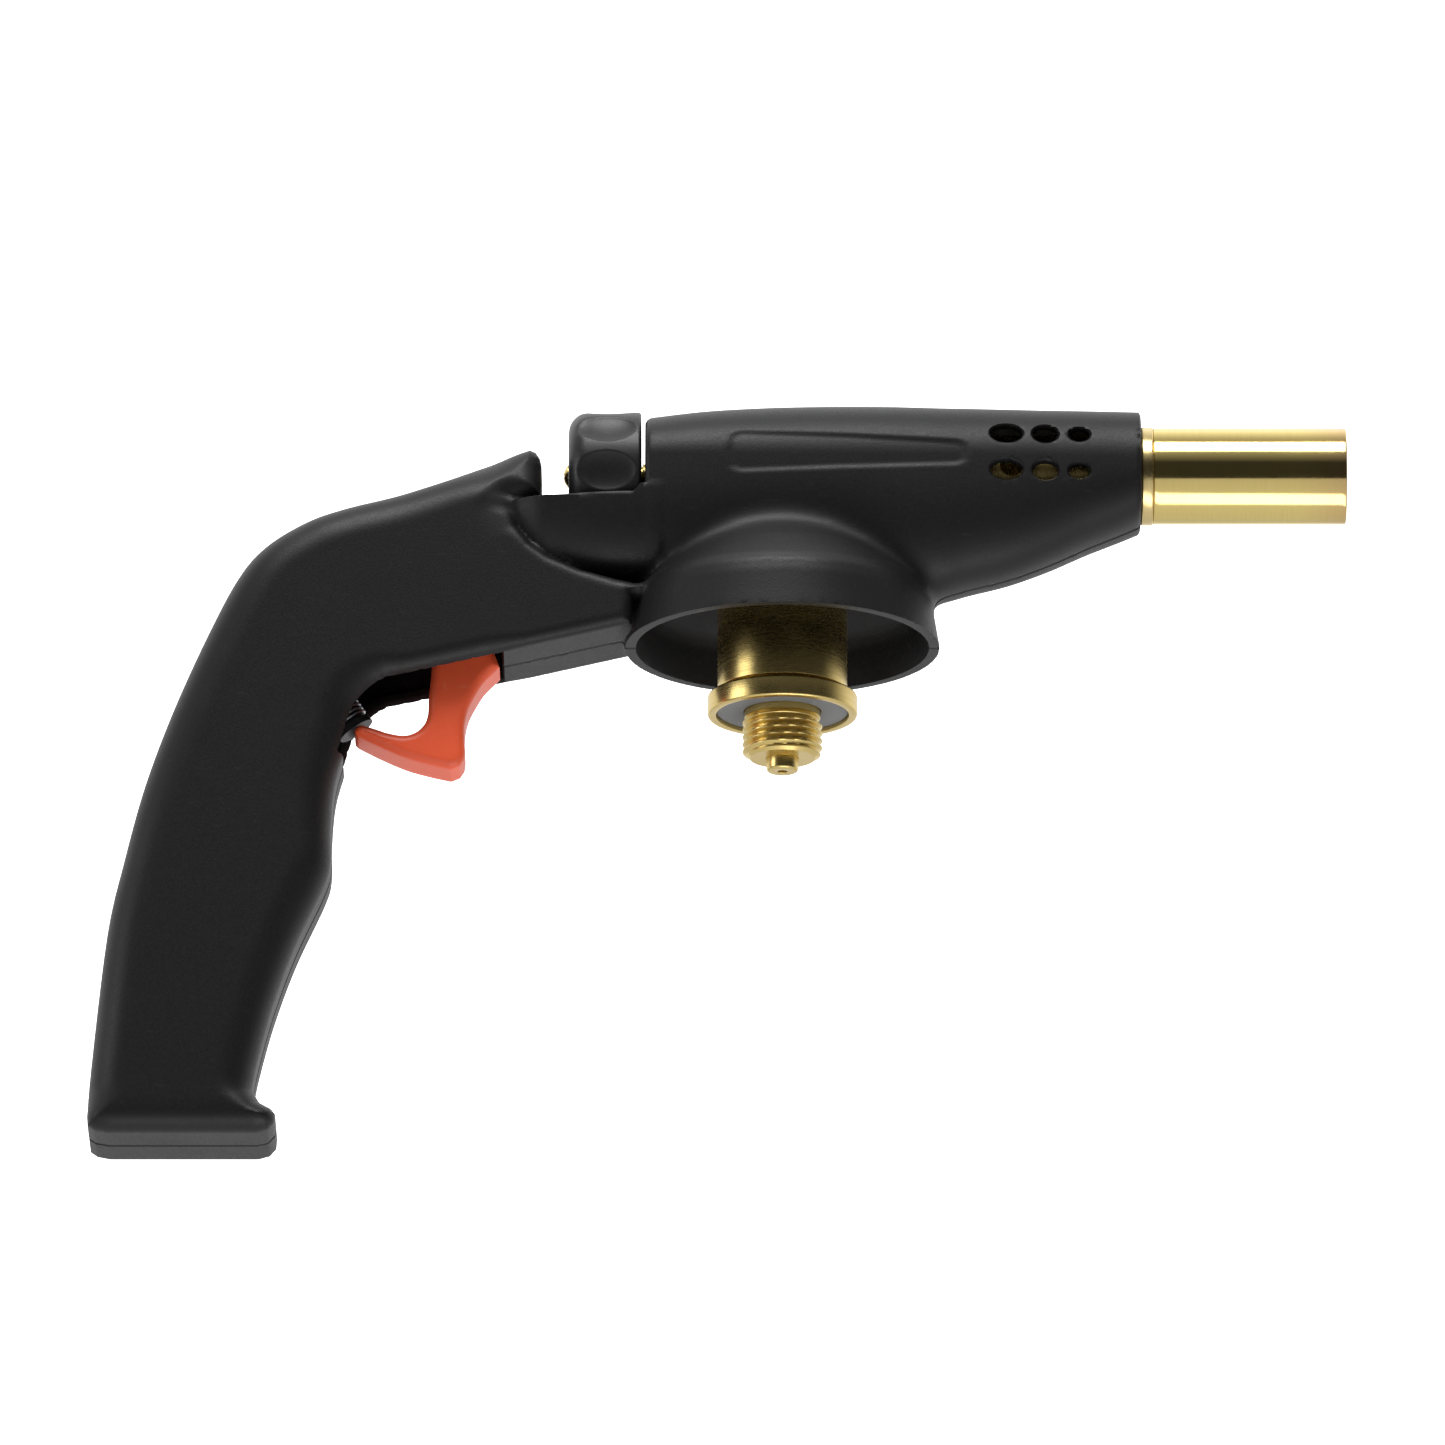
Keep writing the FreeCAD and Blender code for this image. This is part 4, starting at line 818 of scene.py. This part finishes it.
# Distance to the trigger: its outline, cut to half its width with a rounded edge, less the pivot's hole.
def triggerField(x, y, z):
    flat = outlineDistance(x, z - axisZ, triggerLine)
    bar = roundOverlap(flat, np.abs(y) - trigger["half"], trigger["rounding"])
    return np.maximum(bar, trigger["hole"] - np.hypot(x - pivot[0], z - axisZ - pivot[1]))


points, faces = contour(triggerField, steppedLine(-86.4, -55.9, trigger["voxel"]),
                        steppedLine(-6.4, 6.4, trigger["voxel"]),
                        steppedLine(axisZ - 63.6, axisZ - 32.0, trigger["voxel"]))
makePiece("triggerBar", points, faces, "trigger", materialOf["trigger"], sharp=40)
print("knob and trigger made")

# The igniter's spring round the plunger.
spring = dict(wire=0.3, radius=3.45, length=5.9, turns=6, sides=8, steps=48)


# A helix round the plunger's line, rising evenly with the angle, with a ring of points for the wire.
def makeSpring():
    press = next(joint for joint in frame["record"]["behaviour"]["joints"]
                 if joint["name"] == "plunger_press")
    axis = np.array(press["axis"])
    across = np.array([0.0, 1.0, 0.0])
    sideways = np.cross(axis, across)
    middle = np.array([mid("piezo_spring", one) for one in range(3)])
    share = np.linspace(0, 1, spring["turns"] * spring["steps"] + 1)[:, None]
    angle = share * spring["turns"] * 2 * math.pi
    outward = across * np.cos(angle) + sideways * np.sin(angle)
    rise = (share - 0.5) * (spring["length"] - 2 * spring["wire"])
    centre = middle + axis * rise + outward * spring["radius"]
    around = np.arange(spring["sides"]) * 2 * math.pi / spring["sides"]
    ring = outward[:, None] * np.cos(around)[None, :, None] + axis * np.sin(around)[None, :, None]
    points = centre[:, None] + ring * spring["wire"]
    sides = spring["sides"]
    rows, columns = np.meshgrid(np.arange(len(share) - 1), np.arange(sides), indexing="ij")
    after = (columns + 1) % sides
    faces = np.stack([rows * sides + columns, (rows + 1) * sides + columns, (rows + 1) * sides + after,
                      rows * sides + after], -1).reshape(-1, 4)
    cap = np.array([(0, 1, 2, 3), (0, 3, 4, 7), (4, 5, 6, 7)])
    faces = np.vstack([faces, cap, cap[:, ::-1] + (len(share) - 1) * sides])
    piece = makePiece("igniterSpring", points.reshape(-1, 3), faces, "piezo_spring",
                      materialOf["piezo_spring"])
    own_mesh(piece)


makeSpring()

# Burner, collar, inlet rings and washer: turned pieces with softened edges.
start, end = low("burner_tube", 0), high("burner_tube", 0)
tubeRadius = high("burner_tube", 2) - axisZ
tubeInner, mixer = tubeRadius - 0.8, 8.2
tubeSide = [(x, tubeRadius) for x in np.linspace(end - 1, start + 1, 12)]
lathe("burnerTube", roundedOutline([(start, mixer), (start + 1.2, mixer), (start + 1.2, tubeInner),
        (end, tubeInner, 0.25), (end, tubeRadius, 0.35)] + tubeSide + [(start, tubeRadius, 0.3)]),
      "burner_tube", materialOf["burner_tube"], turns=256)
start, end = low("burner_collar", 0), high("burner_collar", 0)
collarRadius = high("burner_collar", 2) - axisZ
lathe("burnerCollar", roundedOutline([(start, mixer), (end, mixer), (end, collarRadius, 0.4),
        (start, collarRadius, 0.4)]),
      "burner_collar", materialOf["burner_collar"], turns=256)

# The sleeve over the regulator, with its step and its faint turned bands: (height, radius, rounding).
sleeve = dict(bottom=low("inlet_sleeve", 2), top=high("inlet_sleeve", 2), radius=high("inlet_sleeve", 0))
ring = sleeve["radius"]
bands = [(height, ring) for height in np.arange(sleeve["bottom"] + 2.0, sleeve["top"] - 1.0, 0.5)]
lathe("inletSleeve", roundedOutline(
    [(sleeve["bottom"], 10.5, 0.2), (sleeve["bottom"], ring - 0.6, 0.15),
     (sleeve["bottom"] + 0.7, ring - 0.6, 0.1), (sleeve["bottom"] + 1.0, ring, 0.3)] + bands
    + [(sleeve["top"], ring, 0.6), (sleeve["top"], 8.4), (26.4, 8.4), (24.5, 10.5)]),
      "inlet_sleeve", materialOf["inlet_sleeve"], axis="Z", turns=256)
# The sealing cup round the thread's neck, with the groove that holds the washer.
cup = dict(top=4.2, radius=high("seal_cup", 0), washer=13.3, washerTop=2.8, neck=7.6)
lathe("sealCup", roundedOutline(
    [(0, cup["radius"], 0.45), (cup["top"], cup["radius"], 0.45), (cup["top"], 10.5), (8.2, 10.5), (8.2, 9.0),
     (4.2, 9.0), (4.2, cup["neck"]), (cup["washerTop"], cup["neck"]), (cup["washerTop"], cup["washer"]),
     (0, cup["washer"], 0.25)]),
      "seal_cup", materialOf["seal_cup"], axis="Z", turns=256)
lathe("sealWasher", roundedOutline([(low("seal_washer", 2), 7.7, 0.3), (low("seal_washer", 2), 13.28, 0.45),
        (2.8, 13.28), (2.8, 7.7)]),
      "seal_washer", materialOf["seal_washer"], axis="Z", turns=200)
print("turned pieces made")

# The cylinder thread, a right-hand helix.
thread = dict(pitch=1.5, crest=8.0, root=7.08, top=-0.6, flank=0.555, flat=0.095, fade=0.9)
threadEnd = low("threaded_nipple", 2)


# Height over pitch, less the share of a turn, gives the distance to the crest's middle. The flank falls
# evenly from the flat crest to the root and fades out at both ends.
def threadWave(along, radius, around):
    turns = (along / thread["pitch"] - around / (2 * math.pi)) % 1
    distance = np.abs(turns - 0.5) * thread["pitch"]
    ridge = np.clip((thread["flat"] + thread["flank"] - distance) / thread["flank"], 0, 1)
    start = smoothStep(thread["top"], thread["top"] - thread["fade"], along)
    end = smoothStep(threadEnd + 0.3, threadEnd + 1.1, along)
    inThread = (along < thread["top"]) & (along > threadEnd + 0.3) & (radius > 6.5)
    raised = thread["root"] + (thread["crest"] - 0.01 - thread["root"]) * ridge * start * end
    return np.where(inThread, raised, radius)


nippleTop = high("threaded_nipple", 2)
threadRows = [(height, thread["root"]) for height in np.arange(thread["top"] - 0.1, threadEnd + 0.7, -0.09)]
outline = np.vstack([[(nippleTop, 4.8), (nippleTop, 9.0), (4.2, 9.0), (4.2, 7.6), (thread["top"] + 0.2, 7.6),
                      (thread["top"], thread["root"])], threadRows,
                     [(threadEnd + 0.6, thread["root"]), (threadEnd, thread["root"] - 0.6), (threadEnd, 3.35),
                      (threadEnd + 0.15, 3.2), (3.8, 3.2), (3.8, 4.8)]])
lathe("cylinderThread", outline, "threaded_nipple", materialOf["threaded_nipple"], axis="Z", turns=240,
      wave=threadWave, sharp=28)
pinEnd = low("depressor_pin", 2)
lathe("depressorPin", roundedOutline([(pinEnd, 1.0, 0.15), (3.8, 1.0), (3.8, 3.18), (pinEnd, 3.18, 0.55)]),
      "depressor_pin", materialOf["depressor_pin"], axis="Z", turns=96)
print("thread made")


# A rectangular lamp at a place, turned to face its aim.
def areaLight(name, place, aim, size, power, tall=None):
    light = bpy.data.lights.new(name, "AREA")
    light.energy = power
    light.shape = "RECTANGLE"
    light.size = size
    light.size_y = tall or size
    lamp = bpy.data.objects.new(name, light)
    lamp.location = place
    lamp.rotation_euler = (Vector(aim) - Vector(place)).to_track_quat("-Z", "Y").to_euler()
    bpy.context.scene.collection.objects.link(lamp)


# The camera looks along the side from a long way off, and the floor lies well below the torch.
stage = dict(elevation=-17.0, distance=3.6, lens=448.0, aim=(-0.012, 0.0, -0.0013), floorDrop=1.3)
tilt = math.radians(stage["elevation"])
aim = Vector(stage["aim"])
camera = bpy.data.objects.new("camera", bpy.data.cameras.new("camera"))
camera.data.lens = stage["lens"]
camera.data.sensor_width = 36.0
camera.data.clip_start = 0.01
camera.location = aim + Vector((0, -math.cos(tilt), math.sin(tilt))) * stage["distance"]
camera.rotation_euler = (aim - camera.location).to_track_quat("-Z", "Y").to_euler()
bpy.context.scene.collection.objects.link(camera)
bpy.context.scene.camera = camera

areaLight("overhead", (-0.05, -0.38, 0.70), (-0.02, 0, 0), 0.6, 5.5, tall=0.35)
areaLight("below", (0.10, -0.20, -0.60), (-0.02, 0, -0.02), 0.5, 1.2, tall=0.3)
areaLight("leftSide", (-0.85, -0.30, 0.10), (-0.02, 0, 0), 0.4, 1.6)

world = bpy.data.worlds.new("studio")
world.use_nodes = True
world.node_tree.nodes.clear()
sky = Tree(world.node_tree)
direction = sky.node("ShaderNodeTexCoord").outputs["Generated"]
parts = sky.node("ShaderNodeSeparateXYZ", {0: direction}).outputs
behind = sky.ramp(parts[1], -0.15, 0.5, 0.035, 1.0)
overhead = sky.ramp(parts[2], 0.3, 0.8, 0.0, 0.4)
shade = sky.maths("ADD", behind, overhead)
seen = sky.node("ShaderNodeLightPath").outputs["Is Camera Ray"]
strength = sky.maths("ADD", sky.maths("MULTIPLY", seen, 1.1), shade)
background = sky.node("ShaderNodeBackground", {"Color": (1, 1, 1, 1), "Strength": strength})
sky.node("ShaderNodeOutputWorld", {"Surface": background.outputs[0]})
bpy.context.scene.world = world
bpy.context.scene.view_settings.view_transform = "Standard"

floorMaterial, floorTree, floorPlace = newMaterial("floorPaper")
paper = useGroup(floorTree, moulded, {"Position": floorPlace, "Grain": 400.0, "Strength": 0.2})
finishMaterial(floorTree, {"Base Color": (0.9, 0.9, 0.9, 1), "Roughness": 0.8, "Normal": paper["Normal"]})
bpy.ops.mesh.primitive_plane_add(size=9.0, location=(0, 1.0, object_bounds()[0][2] - stage["floorDrop"]))
floor = bpy.context.object
floor.name = "floor"
floor.data.materials.append(floorMaterial)
